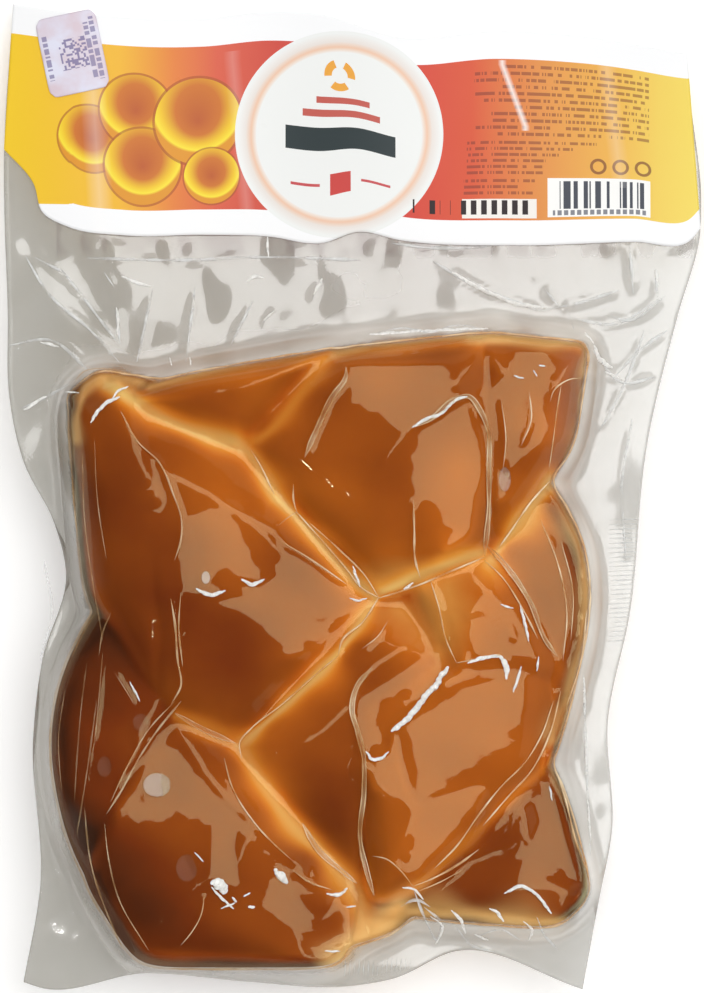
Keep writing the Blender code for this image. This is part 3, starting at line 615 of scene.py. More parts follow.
def lobe_level(x, y, gauge):
    """0 at the lobe's centre and 1 on its outline.

    The sum over the edges of (offset along the normal / distance) to the power
    CORNER_SHARPNESS, rooted: a polygon with soft corners.
    """
    centre, normals, distances = gauge
    total = np.zeros(np.shape(x))
    for normal, distance in zip(normals, distances):
        along = (x - centre[0]) * normal[0] + (y - centre[1]) * normal[1]
        total = total + np.maximum(0, along / distance) ** CORNER_SHARPNESS
    return total ** (1 / CORNER_SHARPNESS)


def lobe_rise(level):
    """Share of the half height at this level: an upright side, then a round shoulder.

    The shoulder is (1 - level ** SHOULDER) ** (1 / CROWN).
    """
    return SIDE_WALL + (1 - SIDE_WALL) * np.maximum(0, 1 - level ** SHOULDER) ** (1 / CROWN)


def lobe_at(x, y, name, lobes):
    """The lobe's level at x, y, its rise there, and how high its top lies over the seam.

    That is the half height and what its slope adds, times the rise.
    """
    gauge = lobe_gauge(name, lobes)
    _, peak, slope = lobes[name]
    level = lobe_level(x, y, gauge)
    rise = lobe_rise(np.minimum(level, 1))
    lean = slope[0] * (x - gauge[0][0]) + slope[1] * (y - gauge[0][1])
    return level, rise, (peak - SEAM_HEIGHT + lean) * rise


def lobe_depth(name):
    """How far the lobe reaches below the seam."""
    if name in CORE_LOBES:
        return CORE_DEPTH
    top = LOBES[name][1]
    return top - SEAM_HEIGHT if top < THIN_LOBE_TOP else UNDERSIDE


# --- the film's height field ---

def field_grid():
    """x and y of every node of the height field."""
    x = np.arange(FIELD_LEFT, FIELD_RIGHT + PITCH / 2, PITCH)
    y = np.arange(FIELD_LOW, FIELD_HIGH + PITCH / 2, PITCH)
    return np.meshgrid(x, y)


def read_field(field, x, y):
    """The field at x, y, through cubic B-splines, which also iron out its steps."""
    column = (x - FIELD_LEFT) / PITCH
    row = (y - FIELD_LOW) / PITCH
    i = np.clip(np.floor(column).astype(int), 1, field.shape[1] - 3)
    j = np.clip(np.floor(row).astype(int), 1, field.shape[0] - 3)

    def weights(t):
        return [(1 - t) ** 3 / 6, (3 * t ** 3 - 6 * t ** 2 + 4) / 6,
                (-3 * t ** 3 + 3 * t ** 2 + 3 * t + 1) / 6, t ** 3 / 6]

    total = np.zeros(np.shape(x))
    for b, down in enumerate(weights(row - j)):
        for a, over in enumerate(weights(column - i)):
            total += down * over * field[j + b - 1, i + a - 1]
    return total


def drawn_film(floor, bend, steps):
    """A film sucked down onto a floor: it rests on it, or spans with curvature 1 / bend.

    Each step moves every node to the mean of its four neighbours, less the load, and never
    below the floor.
    """
    film = floor.copy()
    load = (PITCH ** 2 / (4 * bend) * np.ones(floor.shape))[1:-1, 1:-1]
    for _ in range(steps):
        free = film.copy()
        free[1:-1, 1:-1] = (film[:-2, 1:-1] + film[2:, 1:-1]
                            + film[1:-1, :-2] + film[1:-1, 2:]) / 4 - load
        film = np.maximum(floor, free)
    return film


def lobes_over(x, y):
    """Highest lobe at x, y, the deepest lower side, and the least level of any lobe."""
    top = np.full(x.shape, -NOWHERE)
    low = np.full(x.shape, NOWHERE)
    least = np.full(x.shape, FARTHEST_LEVEL)
    for lobes in (LOBES, CORE_LOBES):
        for name in lobes:
            level, rise, height = lobe_at(x, y, name, lobes)
            inside = level <= 1
            lower = SEAM_HEIGHT - lobe_depth(name) * rise
            top = np.where(inside, np.maximum(top, SEAM_HEIGHT + height), top)
            low = np.where(inside, np.minimum(low, lower), low)
            least = np.minimum(least, level)
    return top, low, least


def fold_clearness(points):
    """How clear a fold is: faint on the far left, where its painted highlight sits in shade, then
    clearer, and 1 over most of the bag.
    """
    share = np.clip((np.mean(points, axis=0)[0] - FOLDS_CLEAR_FROM) / FOLDS_CLEAR_OVER, 0, 1)
    return FOLD_FAINTEST + (1 - FOLD_FAINTEST) * share


def raised_lines(x, y, film, lines):
    """The film with each line pulled up into a ridge, height * (1 - (distance / half) ** 2).

    It fades out at both ends.
    """
    raised = film.copy()
    for points, height, half in lines:
        curve = smooth_curve(points, np.linspace(0, 1, RIDGE_POINTS))
        (left, low), (right, high) = curve.min(axis=0) - half, curve.max(axis=0) + half
        box = np.ix_((y[:, 0] > low) & (y[:, 0] < high), (x[0] > left) & (x[0] < right))
        gap, share = nearest_on_line(x[box], y[box], curve)
        fade = np.sqrt(np.clip(np.minimum(share, 1 - share) * RIDGE_ENDS, 0, 1))
        ridge = film[box] + height * fade * (1 - (gap / half) ** 2)
        raised[box] = np.maximum(raised[box], np.where(gap < half, ridge, -NOWHERE))
    return raised


def in_polygon(x, y, corners):
    """Whether each x, y lies in the polygon: a ray to its right crosses an odd count of edges."""
    inside = np.zeros(x.shape, bool)
    corners = np.array(corners, float)
    for (x1, y1), (x2, y2) in zip(corners, np.roll(corners, -1, axis=0)):
        if y1 != y2:
            inside ^= ((y1 > y) != (y2 > y)) & (x < x1 + (y - y1) / (y2 - y1) * (x2 - x1))
    return inside


def mirror_slope(share, at):
    """The film's slope at this place, downhill, that mirrors a light to the camera.

    Half the light's angle from straight up, less what the light's and the camera's own
    distances take off.
    """
    return math.tan(math.atan(share) / 2) - at * (1 / LIGHT_HEIGHT + 1 / CAMERA_HEIGHT) / 2


LEAN_ROUNDS = 300
LEAN_MARGIN = 0.035         # of slope, on either side of the softbox's edge
LEAN_SOFT = 0.9             # the change is smoothed over this length
LEAN_PUSH = 1.5             # times the change that a round finds
LEAN_LEAK = 0.975           # keeps the change small
LEAN_MOST = 6.5
LEAN_LIFT = 0.6             # brings the highest lobes back to the solid's height
LEAN_EDGE = 0.08            # lobe levels inside the outline over which the change sets in
LEAN_FROM = 0.3             # slopes are moved where it has set in this far
FILM_HIGHEST = 46.2


def leaned(film, least, x, y):
    """What to add to the film so that it mirrors the softbox in MIRRORING and nowhere else.

    The downhill slopes that mirror the softbox form a box. Each round takes the film's
    slopes, moves those in a patch into the box and all others out of it by the least
    amount, and adds the height whose slopes come nearest to that, found by waves.
    """
    low, high = (np.stack([mirror_slope(SOFTBOX_X[side], x), mirror_slope(SOFTBOX_Y[side], y)])
                 for side in (0, 1))
    shown = np.zeros(x.shape, bool)
    for corners in MIRRORING:
        shown |= in_polygon(x, y, corners)
    over = np.clip((1 - least) / LEAN_EDGE, 0, 1)
    used = over > LEAN_FROM
    wave = np.stack(np.meshgrid(*(2 * math.pi * np.fft.fftfreq(count, PITCH)
                                  for count in x.shape[::-1])))
    square = wave[0] ** 2 + wave[1] ** 2
    square[0, 0] = 1.0
    smoothed = 1j * LEAN_PUSH * np.exp(-square * LEAN_SOFT ** 2 / 2) / square
    change = np.zeros(x.shape)
    for _ in range(LEAN_ROUNDS):
        down = np.stack(np.gradient(-film - change, PITCH)[::-1])
        past_low, past_high = down - low + LEAN_MARGIN, high - down + LEAN_MARGIN
        nearest = np.minimum(past_low, past_high).min(axis=0)
        out = np.where(nearest == past_low, -past_low,
                       np.where(nearest == past_high, past_high, 0.0)) * (nearest > 0)
        into = np.clip(down, low + LEAN_MARGIN, high - LEAN_MARGIN) - down
        moved = np.fft.fft2(np.where(shown, into, out) * used)
        step = np.fft.ifft2((wave[0] * moved[0] + wave[1] * moved[1]) * smoothed)
        change = (LEAN_LEAK * change + np.real(step)) * over
        change = np.minimum(np.clip(change, -LEAN_MOST, LEAN_MOST), FILM_HIGHEST - film)
    return np.minimum(change + LEAN_LIFT * over, FILM_HIGHEST - film)


def hazed_patches(x, y):
    """The haze of the patches in HAZED, blurred: each round takes four neighbours' mean."""
    haze = np.zeros(x.shape)
    for corners, amount in HAZED:
        haze = np.maximum(haze, amount * in_polygon(x, y, corners))
    for _ in range(HAZE_BLURS):
        haze = sum(np.roll(haze, move, axis) for move, axis in
                   ((1, 0), (-1, 0), (1, 1), (-1, 1))) / 4
    return haze


class FilmField:
    """The bag's upper and lower film as height fields, and how far off the cheese it is.

    The upper one is drawn over the lobes and the crumpled rim, leaned, pulled up into folds
    and drawn again. The lower one is drawn up under the lobes.
    """

    def __init__(self):
        x, y = field_grid()
        top, low, least = lobes_over(x, y)
        self.apart = np.clip((least - 1.0) * LEVEL_LENGTH, 0, APART_MOST)
        header = np.clip((y - PLEATS_FROM) / PLEATS_OVER, 0, 1)
        off = np.clip(self.apart / LOOSE_OVER, 0, 1)
        loose = off * np.clip((UNDER_LABEL - y) / LABEL_HOLDS, 0, 1)
        by_label = np.exp(-((y - LABEL_CRUMPLE_Y) / LABEL_CRUMPLE_REACH) ** 2)
        pleats = crumpled(x, y, HEADER_PLEATS) + by_label * crumpled(x, y, LABEL_CRUMPLE)
        sides = crumpled(x, y, SIDE_CRUMPLE)
        rim = rim_height(x, y) + loose * (sides * (1 - header) + pleats * header)
        inner = np.clip((EDGE_BEND_LEVEL - least) / EDGE_BEND_OVER, 0, 1)
        bend = EDGE_BEND + (BEND - EDGE_BEND) * inner
        tight = drawn_film(np.maximum(top, rim), bend, DRAWN_STEPS)
        self.lean = leaned(tight, least, x, y)
        folds = [(points, FOLD_HEIGHT * fold_clearness(points), FOLD_FLANK)
                 for points, _ in FOLDS]
        ridged = raised_lines(x, y, tight + self.lean, folds + RIM_FOLDS)
        film = drawn_film(ridged, RIDGE_BEND, RIDGE_STEPS)
        self.upper = film + (1 - off) * uneven(x, y, FILM_RIPPLE)
        self.slope_y, self.slope_x = np.gradient(self.upper, PITCH)
        self.hazed = hazed_patches(x, y)
        under = drawn_film(np.maximum(-low, -rim), BEND, DRAWN_STEPS)
        self.lower = np.maximum(-under, 0.0)

    def top(self, x, y):
        """Height of the upper film."""
        return read_field(self.upper, x, y) + FILM_HALF

    def bottom(self, x, y):
        """Height of the lower film, never below the table it rests on."""
        return np.maximum(read_field(self.lower, x, y) - FILM_HALF, FILM_LOWEST)

    def uphill(self, x, y):
        """The upper film's rise along x and along y, and its slope: the length of the two."""
        up_x, up_y = read_field(self.slope_x, x, y), read_field(self.slope_y, x, y)
        return up_x, up_y, np.hypot(up_x, up_y)


# --- meshes from arrays ---

class Shape:
    """Points and faces gathered for one mesh. Every part added is a grid of points."""

    def __init__(self):
        self.points, self.faces, self.count = [], [], 0

    def add(self, points):
        """Adds points, and returns their numbers."""
        points = np.asarray(points, float)
        flat = points.reshape(-1, 3)
        self.points.append(flat)
        self.count += len(flat)
        return np.arange(self.count - len(flat), self.count).reshape(points.shape[:-1])

    def quads(self, numbers, flip=False):
        """Faces between a grid of numbered points."""
        a, b = numbers[:-1, :-1], numbers[:-1, 1:]
        c, d = numbers[1:, 1:], numbers[1:, :-1]
        loops = (d, c, b, a) if flip else (a, b, c, d)
        self.faces.append(np.stack([loop.ravel() for loop in loops], axis=1))

    def sheet(self, points, flip=False):
        """An open grid of rows by columns, facing up if its rows run to +Y."""
        numbers = self.add(points)
        self.quads(numbers, flip)
        return numbers

    def tube(self, rings):
        """Rings of points, closed round, with a middle point that closes each end."""
        numbers = self.add(rings)
        self.quads(np.column_stack([numbers, numbers[:, 0]]))
        for ring, last in ((0, False), (-1, True)):
            middle = self.add(np.asarray(rings[ring]).mean(axis=0)[None])[0]
            edge = numbers[ring]
            after = np.roll(edge, -1)
            order = (edge, after) if last else (after, edge)
            self.faces.append(np.stack([*order, np.full(len(edge), middle)], axis=1))
        return numbers

    def mesh(self, name):
        """The Blender mesh, in metres and shaded smooth."""
        points = np.concatenate(self.points) * MM
        sizes = np.concatenate([np.full(len(f), f.shape[1]) for f in self.faces])
        corners = np.concatenate([f.ravel() for f in self.faces])
        mesh = bpy.data.meshes.new(name)
        mesh.vertices.add(len(points))
        mesh.vertices.foreach_set("co", points.ravel())
        mesh.loops.add(len(corners))
        mesh.loops.foreach_set("vertex_index", corners)
        mesh.polygons.add(len(sizes))
        mesh.polygons.foreach_set("loop_start", np.cumsum(sizes) - sizes)
        mesh.update(calc_edges=True)
        mesh.shade_smooth()
        return mesh


def tube_points(rings):
    """How many points a tube has: its rings' own and one that closes each end."""
    return rings.shape[0] * rings.shape[1] + 2


def put_numbers(mesh, name, values):
    """Gives each point of the mesh a number that its material can read."""
    mesh.attributes.new(name, "FLOAT", "POINT").data.foreach_set("value", np.ravel(values))


def put_map(mesh, name, flat):
    """Gives the mesh a UV map from one pair of numbers for each point."""
    corners = np.empty(len(mesh.loops), dtype=int)
    mesh.loops.foreach_get("vertex_index", corners)
    layer = mesh.uv_layers.new(name=name)
    layer.data.foreach_set("uv", np.reshape(flat, (-1, 2))[corners].ravel())


def new_object(name, data):
    """An object of this mesh, light or camera, put into the scene."""
    made = bpy.data.objects.new(name, data)
    bpy.context.scene.collection.objects.link(made)
    return made


def new_piece(name, mesh, finish, slot, *nodes):
    """An object of this mesh that rides on the pack and stands for these solids."""
    piece = new_object(name, mesh)
    mesh.materials.append(finish)
    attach(piece, "root")
    if nodes:
        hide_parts(*nodes)
    return piece


def places(mesh):
    """The mesh's points as an array, in millimetres."""
    points = np.empty(len(mesh.vertices) * 3)
    mesh.vertices.foreach_get("co", points)
    return points.reshape(-1, 3) / MM


# --- materials ---

WHITE, BLACK = (1, 1, 1, 1), (0, 0, 0, 1)


def colour(red, green, blue):
    """A linear colour from the 0 to 255 numbers that a picture shows."""
    share = np.array([red, green, blue]) / 255.0
    linear = np.where(share < 0.04045, share / 12.92, ((share + 0.055) / 1.055) ** 2.4)
    return (*[float(c) for c in linear], 1.0)


def plug(tree, slot, value):
    """Links a socket to an input, or sets the input to a number or a colour."""
    if isinstance(value, Value):
        tree.links.new(value.socket, slot)
    else:
        slot.default_value = value


def maths(operation, turned=False):
    """A method of Value that adds this Math node, with the other term first if turned."""
    def method(self, *others):
        return self.math(operation, *((*others, self) if turned else (self, *others)))
    return method


class Value:
    """A node's output. Each sum, comparison or function of it adds a Math node."""

    def __init__(self, tree, socket):
        self.tree, self.socket = tree, socket

    def math(self, operation, *terms):
        """The output of one Math node."""
        node = self.tree.nodes.new("ShaderNodeMath")
        node.operation = operation
        for slot, term in zip(node.inputs, terms):
            plug(self.tree, slot, term)
        return Value(self.tree, node.outputs[0])

    __add__, __radd__ = maths("ADD"), maths("ADD", turned=True)
    __sub__, __rsub__ = maths("SUBTRACT"), maths("SUBTRACT", turned=True)
    __mul__, __rmul__ = maths("MULTIPLY"), maths("MULTIPLY", turned=True)
    __truediv__, __rtruediv__ = maths("DIVIDE"), maths("DIVIDE", turned=True)
    __pow__, __rpow__ = maths("POWER"), maths("POWER", turned=True)
    __gt__, __lt__ = maths("GREATER_THAN"), maths("LESS_THAN")
    floor, part = maths("FLOOR"), maths("FRACT")        # rounded down, and what that takes off
    size, root, sine = maths("ABSOLUTE"), maths("SQRT"), maths("SINE")
    least, most = maths("MINIMUM"), maths("MAXIMUM")

    def held(self, low=0.0, high=1.0):
        """Kept between low and high."""
        return self.most(low).least(high)

    def step(self, low, high):
        """0 below low and 1 above high, straight between."""
        return ((self - low) / (high - low)).held()


class Finish:
    """A material under construction."""

    def __init__(self, name):
        self.material = bpy.data.materials.new(name)
        self.material.use_nodes = True
        self.tree = self.material.node_tree
        self.tree.nodes.clear()

    def node(self, kind, settings=None, output=0, **sockets):
        """Adds a node: its settings first, then its sockets' values or links.

        Its kind is its type's name after ShaderNode. A socket is named with underscores for
        spaces, or as s and its number.
        """
        made = self.tree.nodes.new("ShaderNode" + kind)
        for key, value in (settings or {}).items():
            setattr(made, key, value)
        for key, value in sockets.items():
            slot = int(key[1:]) if key[0] == "s" and key[1:].isdigit() else key.replace("_", " ")
            plug(self.tree, made.inputs[slot], value)
        return Value(self.tree, made.outputs[output])

    def ramp(self, value, stops):
        """A colour for the value, between stops of place and colour."""
        made = self.tree.nodes.new("ShaderNodeValToRGB")
        elements = made.color_ramp.elements
        while len(elements) < len(stops):
            elements.new(0.5)
        for element, (place, shade) in zip(elements, stops):
            element.position = place
            element.color = colour(*shade)
        plug(self.tree, made.inputs["Fac"], value)
        return Value(self.tree, made.outputs[0])

    def mix(self, share, first, second):
        """The first colour, and by the share of 0 to 1 the second."""
        return self.node("Mix", {"data_type": "RGBA", "clamp_factor": True}, 2,
                         s0=share, s6=first, s7=second)

    def number(self, name):
        """A number that the mesh's points carry."""
        return self.node("Attribute", {"attribute_name": name}, 2)

    def place(self):
        """Object coordinates."""
        return self.node("TexCoord", output=3)

    def print_map(self):
        """Both numbers of the mesh's print map, in millimetres."""
        s, t = self.split(self.node("UVMap", {"uv_map": "print"}))
        return s / MM, t / MM

    def split(self, vector):
        """The vector's first and second numbers."""
        made = self.tree.nodes.new("ShaderNodeSeparateXYZ")
        plug(self.tree, made.inputs[0], vector)
        return Value(self.tree, made.outputs[0]), Value(self.tree, made.outputs[1])

    def noise(self, vector, scale, detail=2.0, stretch=(1.0, 1.0, 1.0)):
        """Noise of 0 to 1 with features of about 1 / scale metres, stretched by axis."""
        scaled = self.node("VectorMath", {"operation": "MULTIPLY"},
                           s0=vector, s1=stretch)
        return self.node("TexNoise", Vector=scaled, Scale=scale, Detail=detail)

    def chance(self, value):
        """A drawn number of 0 to 1, the same wherever the value is the same."""
        return self.node("TexWhiteNoise", {"noise_dimensions": "1D"}, W=value)

    def bump(self, height, strength, distance):
        """A normal from a height of 0 to 1 that stands for distance metres."""
        return self.node("Bump", Height=height, Strength=strength, Distance=distance)

    def grain(self, scale, strength, distance):
        """A normal over fine noise."""
        return self.bump(self.noise(self.place(), scale, 2.0), strength, distance)

    def solid(self, **sockets):
        """A Principled shader."""
        return self.node("BsdfPrincipled", **sockets)

    def blend(self, share, first, second):
        """The first shader, and by the share of 0 to 1 the second."""
        return self.node("MixShader", s0=share, s1=first, s2=second)

    def veil(self, share, tint, shader):
        """Clear film of this tint, and by the share of 0 to 1 the shader."""
        return self.blend(share, self.node("BsdfTransparent", Color=tint), shader)

    def finish(self, shader):
        """Links the shader to the surface and returns the material."""
        made = self.tree.nodes.new("ShaderNodeOutputMaterial")
        plug(self.tree, made.inputs["Surface"], shader)
        return self.material


# Ramps: places along the value and their colours, 0 to 255 as a picture shows them.
SMOKE_RAMP = [(0.0, (82, 43, 26)), (0.25, (150, 68, 24)), (0.5, (190, 101, 31)),
              (0.75, (222, 127, 38)), (1.0, (238, 168, 80))]
# The crease glow's colours: partly the rind's own, partly painted light.
CREASE_RAMP = [(0.0, (212, 130, 36)), (0.5, (236, 176, 68)), (1.0, (252, 222, 142))]
MOTTLE_SCALE, MOTTLE = 55.0, 0.16           # the smoke's broad unevenness, and how much
SPECKLE_SCALE, SPECKLE = 420.0, 0.04        # and its fine one
PAINTED_CREASE_GLOW = 2.4         # how strong the painted orange glow beside a crease is


def cheese_finish():
    """Smoked rind: mahogany to tan by its tone, amber in the creases, cream near the weld.

    Painted glow, as emission: cream where it is pale, and orange by glow * (1 - glow).
    """
    f = Finish("smoked_cheese")
    place = f.place()
    tone, glow, pale = f.number("tone"), f.number("glow"), f.number("pale")
    mottle = f.noise(place, MOTTLE_SCALE, 2.0) - 0.5
    speckle = f.noise(place, SPECKLE_SCALE, 1.0) - 0.5
    smoke = f.ramp((tone + mottle * MOTTLE + speckle * SPECKLE).held(), SMOKE_RAMP)
    skin = f.mix(mottle + 0.5, colour(226, 166, 88), colour(250, 216, 150))
    base = f.mix(pale, f.mix(glow, smoke, f.ramp(glow, CREASE_RAMP)), skin)
    # Painted glow: orange emission beside the creases, and cream emission where the skin is pale.
    beside = f.mix(glow * (1.0 - glow) * PAINTED_CREASE_GLOW, BLACK, colour(240, 130, 30))
    painted_glow = f.mix((pale * 0.8 + glow * 0.2).held(), beside, skin)
    return f.finish(f.solid(Base_Color=base, Roughness=0.45, Specular_IOR_Level=0.0,
                            Emission_Color=painted_glow, Emission_Strength=0.2,
                            Normal=f.grain(160.0, 0.25, 0.0004)))


FILM_INDEX = 1.5
MIRROR_SHARE = (1.15, 0.6)  # times the Fresnel share: clear film, and what its haze adds
FILM_ROUGHNESS = 0.035
FILM_TINT = (0.98, 0.975, 0.965, 1)
MIRROR_TINT = (0.78, 0.74, 0.40, 1)         # of what clear film over the cheese mirrors
EMBOSS = 4800.0             # radians to a metre of the film's fine embossed grid
STRIP_Y, STRIP_LEFT = (69.0, 71.0), -86.0   # the crinkled strip that runs along the label, dark partly as painted shadow under it
# The haze over which the milk turns whiter, as painted light along the cheese's edge.
WHITEST_HAZE = (0.42, 0.6)


def film_finish():
    """Clear glossy film: it mirrors by Fresnel, passes the rest, and is milky by its haze.

    What its dim takes off the Fresnel share isn't mirrored but passed.
    """
    f = Finish("clear_film")
    place = f.place()
    x, y = f.split(place)
    haze = f.number("haze")
    emboss = (x * EMBOSS).sine() * (y * EMBOSS).sine() * haze
    normal = f.bump(f.noise(place, 900.0, 1.0) + emboss * 0.6, 0.10, 0.00006)
    fresnel = f.node("Fresnel", IOR=FILM_INDEX, Normal=normal)
    mirror = fresnel * (haze * MIRROR_SHARE[1] + MIRROR_SHARE[0]) * (1.0 - f.number("dim"))
    warm, white = (f.node("BsdfAnisotropic", Color=tint, Roughness=FILM_ROUGHNESS,
                          Normal=normal) for tint in (MIRROR_TINT, WHITE))
    skin = f.veil(mirror.held(), FILM_TINT, f.blend((haze * 4.0).held(), warm, white))
    x, y = x / MM, y / MM
    # Milk colour: cloudy, and darker to the left as painted shade; whiter by the cheese, as painted
    # light.
    cloud = f.noise(place, 60.0, 2.0) * 0.5 + x.step(-70.0, 60.0) * 0.5
    milk = f.mix(cloud, colour(172, 168, 154), colour(218, 218, 214))
    milk = f.mix(haze.step(*WHITEST_HAZE), milk, colour(236, 234, 228))
    # The strip is the seal's crinkles, their dark colour partly painted shadow under the label.
    crinkle = f.noise(place, 170.0, 2.0, (1.0, 0.4, 1.0)).step(0.44, 0.56)
    strip = y.step(*STRIP_Y) * (x > STRIP_LEFT) * crinkle * 0.6
    milk = f.mix(strip, milk, colour(138, 126, 122))
    return f.finish(f.blend(haze, skin, f.solid(Base_Color=milk, Roughness=0.14,
                                                Specular_IOR_Level=1.0, Normal=normal)))


def fold_finish():
    """Film gathered into a narrow fold: cream, partly as painted highlight, glossy and as clear as
    its milk tells.
    """
    f = Finish("gathered_film")
    pale = f.noise(f.place(), 110.0, 2.0).step(0.3, 0.7)
    shade = f.mix(pale, colour(232, 176, 108), colour(254, 232, 194))
    return f.finish(f.veil((pale * 0.4 + 0.32) * f.number("milk"), (1, 0.96, 0.90, 1),
                           f.solid(Base_Color=shade, Roughness=0.15)))


def glint_finish():
    """Painted glint: crumpled film drawn nearly white, which also catches the lamp."""
    f = Finish("painted_glint_film")
    share = f.noise(f.place(), 700.0, 2.0).step(0.2, 0.6) * 0.35 + 0.5
    return f.finish(f.veil(share, WHITE, f.solid(Base_Color=colour(252, 251, 248),
                                                 Roughness=0.1)))


def oval_finish():
    """A painted round reflection: as pale as its milk tells, and browner where it is faint."""
    f = Finish("painted_oval_film")
    milk = f.number("milk")
    shade = f.mix((milk * 4.0).held(), colour(226, 150, 104), colour(236, 216, 196))
    return f.finish(f.veil(milk, WHITE, f.solid(Base_Color=shade, Roughness=0.1)))


def rib_finish():
    """The knurled weld and the folds in the rim: clear film, glossy and pale in spots, the pale
    spots painted glints.
    """
    f = Finish("weld_ribs")
    pale = f.noise(f.place(), 200.0, 2.0).step(0.3, 0.7)
    return f.finish(f.veil(pale * 0.6 + 0.06, (0.99, 0.99, 0.985, 1),
                           f.solid(Base_Color=colour(242, 243, 243), Roughness=0.2)))


# --- the print, in millimetres across from the middle and up ---

LABEL_HEIGHT = 62.0         # of the print's map, from the lower edge to the fold
PRINT_BORDER = 7.3          # the white border along both edges of the label
BORDER_PAST_FOLD = 7.0      # and how far it runs on down the back
BACK_FROM = LABEL_HEIGHT + 1.0
LEFT_FIELD_SPAN, RIGHT_FIELD_SPAN = (-101.0, -22.0), (16.0, 101.0)
LEFT_FIELD_RAMP = [(0.0, (242, 202, 48)), (0.42, (238, 182, 52)), (0.62, (226, 130, 62)),
                   (0.78, (216, 96, 72)), (1.0, (206, 80, 68))]
RIGHT_FIELD_RAMP = [(0.0, (210, 70, 58)), (0.22, (214, 86, 54)), (0.45, (222, 142, 70)),
                    (0.70, (234, 178, 78)), (0.86, (238, 206, 92)), (1.0, (240, 216, 96))]
# Rounds in the left field: middle and radius, then the colours from their tops down.
ROUNDS = [((-76.0, 27.0), 9.5), ((-63.0, 36.0), 10.5), ((-61.0, 20.0), 11.0),
          ((-45.0, 33.0), 12.5), ((-41.0, 17.0), 8.0)]
ROUND_RAMP = [(0.0, (186, 92, 44)), (0.45, (204, 116, 44)), (0.75, (238, 196, 44)),
              (0.92, (246, 224, 60)), (1.0, (222, 150, 44))]
ROUND_SHADE, ROUND_STRETCH, ROUND_HALO = 0.035, 0.95, 1.06
# Blocks of small bars: left, right, low, high, rows, and how ragged each end is.
TEXT_BLOCKS = [(31.5, 86.3, 31.6, 53.4, 11, 16.0, 0.0), (33.2, 76.4, 20.4, 31.0, 6, 0.0, 22.0),
               (32.3, 54.4, 14.4, 19.8, 3, 0.0, 8.0)]
WORD_LENGTH, STROKE_LENGTH = 1.15, 0.4
WORD_GAPS, STROKE_GAPS = 0.14, 0.22         # shares of words and strokes left blank
ROW_LOW, ROW_HIGH = 0.3, 0.78               # a bar's place in its row
# The tag on the right, its upright bars of drawn width and the row of marks under them.
TAG_BOX = (56.7, 86.6, 8.2, 19.8)
TAG_BARS, TAG_BAR_STEP = (60.2, 84.8, 10.6, 18.9), 0.42
TAG_MARKS, TAG_MARK_STEP = (58.2, 85.3, 8.7, 10.2), 1.9
# Three rings beside the blocks: the first's middle, step, radius and half width.
RINGS_FIRST, RINGS_STEP, RINGS_RADIUS, RINGS_HALF = (71.5, 23.4), 6.5, 2.0, 0.42
DATE_STRIP = (31.8, 53.5, 7.9, 13.6)
DATE_MARKS, DATE_MARK_STEP, DATE_DIGIT_STEP = (17.5, 52.0, 9.0, 13.2), 3.0, 1.5
# The disc, in the scene's x and y: its ring is a bright line with a broad soft one outside.
DISC_CENTRE = (-3.9, 105.3)
DISC_SIZE, DISC_RING, RING_HALF = 30.3, 25.6, 1.5
SOFT_RING, SOFT_RING_HALF = 27.2, 2.4
# Plain marks on the disc: left, right, low and high, and the ink.
DISC_MARKS = [((-19.5, 12.5, 25.2, 31.6), (52, 62, 64)), ((-14.5, 8.0, 34.6, 36.6), (196, 96, 86)),
              ((-10.5, 5.0, 38.4, 40.2), (196, 96, 86)), ((-18.0, -9.5, 15.4, 16.2), (200, 84, 88)),
              ((2.5, 11.0, 15.4, 16.2), (200, 84, 88)), ((-6.5, -0.5, 12.6, 18.6), (204, 74, 70))]
PETALS_MIDDLE, PETALS_RADIUS, PETALS_HALF, PETALS = (-3.7, 46.5), 3.4, 1.1, 3
PETAL_GAP = -0.35           # a petal lies where the sine is above this
# Painted highlights along creases of the label: upper end, lower end, half width, strength.
GLARES = [((43.6, 53.0), (50.3, 35.0), 1.3, 0.75), ((-76.0, 48.0), (-73.0, 4.0), 4.0, 0.22),
          ((-35.0, 50.0), (-30.5, 6.0), 2.6, 0.12), ((74.0, 54.0), (78.0, 20.0), 3.0, 0.15)]


def box_mask(s, t, sides):
    """1 inside a box of left, right, low and high."""
    left, right, low, high = sides
    return (s > left) * (s < right) * (t > low) * (t < high)


def distance_from(s, t, middle):
    """Distance of s, t from a middle: the root of the sum of both squares."""
    return ((s - middle[0]) ** 2.0 + (t - middle[1]) ** 2.0).root()


def bar_rows(f, s, t, block):
    """1 on rows of short bars of drawn lengths, like small print seen from afar.

    Words and strokes are cells along a row, and those whose drawn number is low stay blank.
    """
    left, right, low, high, rows, ragged_left, ragged_right = block
    run = (t - low) / ((high - low) / rows)
    row = run.floor()
    stray = f.chance(row * 7.3 + left)
    word = f.chance((s / WORD_LENGTH).floor() + row * 41.7)
    stroke = f.chance((s / STROKE_LENGTH).floor() + row * 13.1)
    inside = box_mask(s, t, (left, right, low, high))
    inside = inside * (s > left + stray * ragged_left) * (s < right - stray * ragged_right)
    inside = inside * (run.part() > ROW_LOW) * (run.part() < ROW_HIGH)
    return inside * (word > WORD_GAPS) * (stroke > STROKE_GAPS)


def print_fields(f, s, t):
    """The two shaded fields and the rounds in the left one."""
    shown = f.mix(s > 0.0, f.ramp(s.step(*LEFT_FIELD_SPAN), LEFT_FIELD_RAMP),
                  f.ramp(s.step(*RIGHT_FIELD_SPAN), RIGHT_FIELD_RAMP))
    for middle, radius in ROUNDS:
        away = distance_from(s, t, middle) / radius
        lower = (away - (t - middle[1]) * ROUND_SHADE) * ROUND_STRETCH
        halo = f.mix((away < ROUND_HALO) * 0.7, shown, colour(170, 84, 40))
        shown = f.mix(away < 1.0, halo, f.ramp(lower.held(), ROUND_RAMP))
    return shown


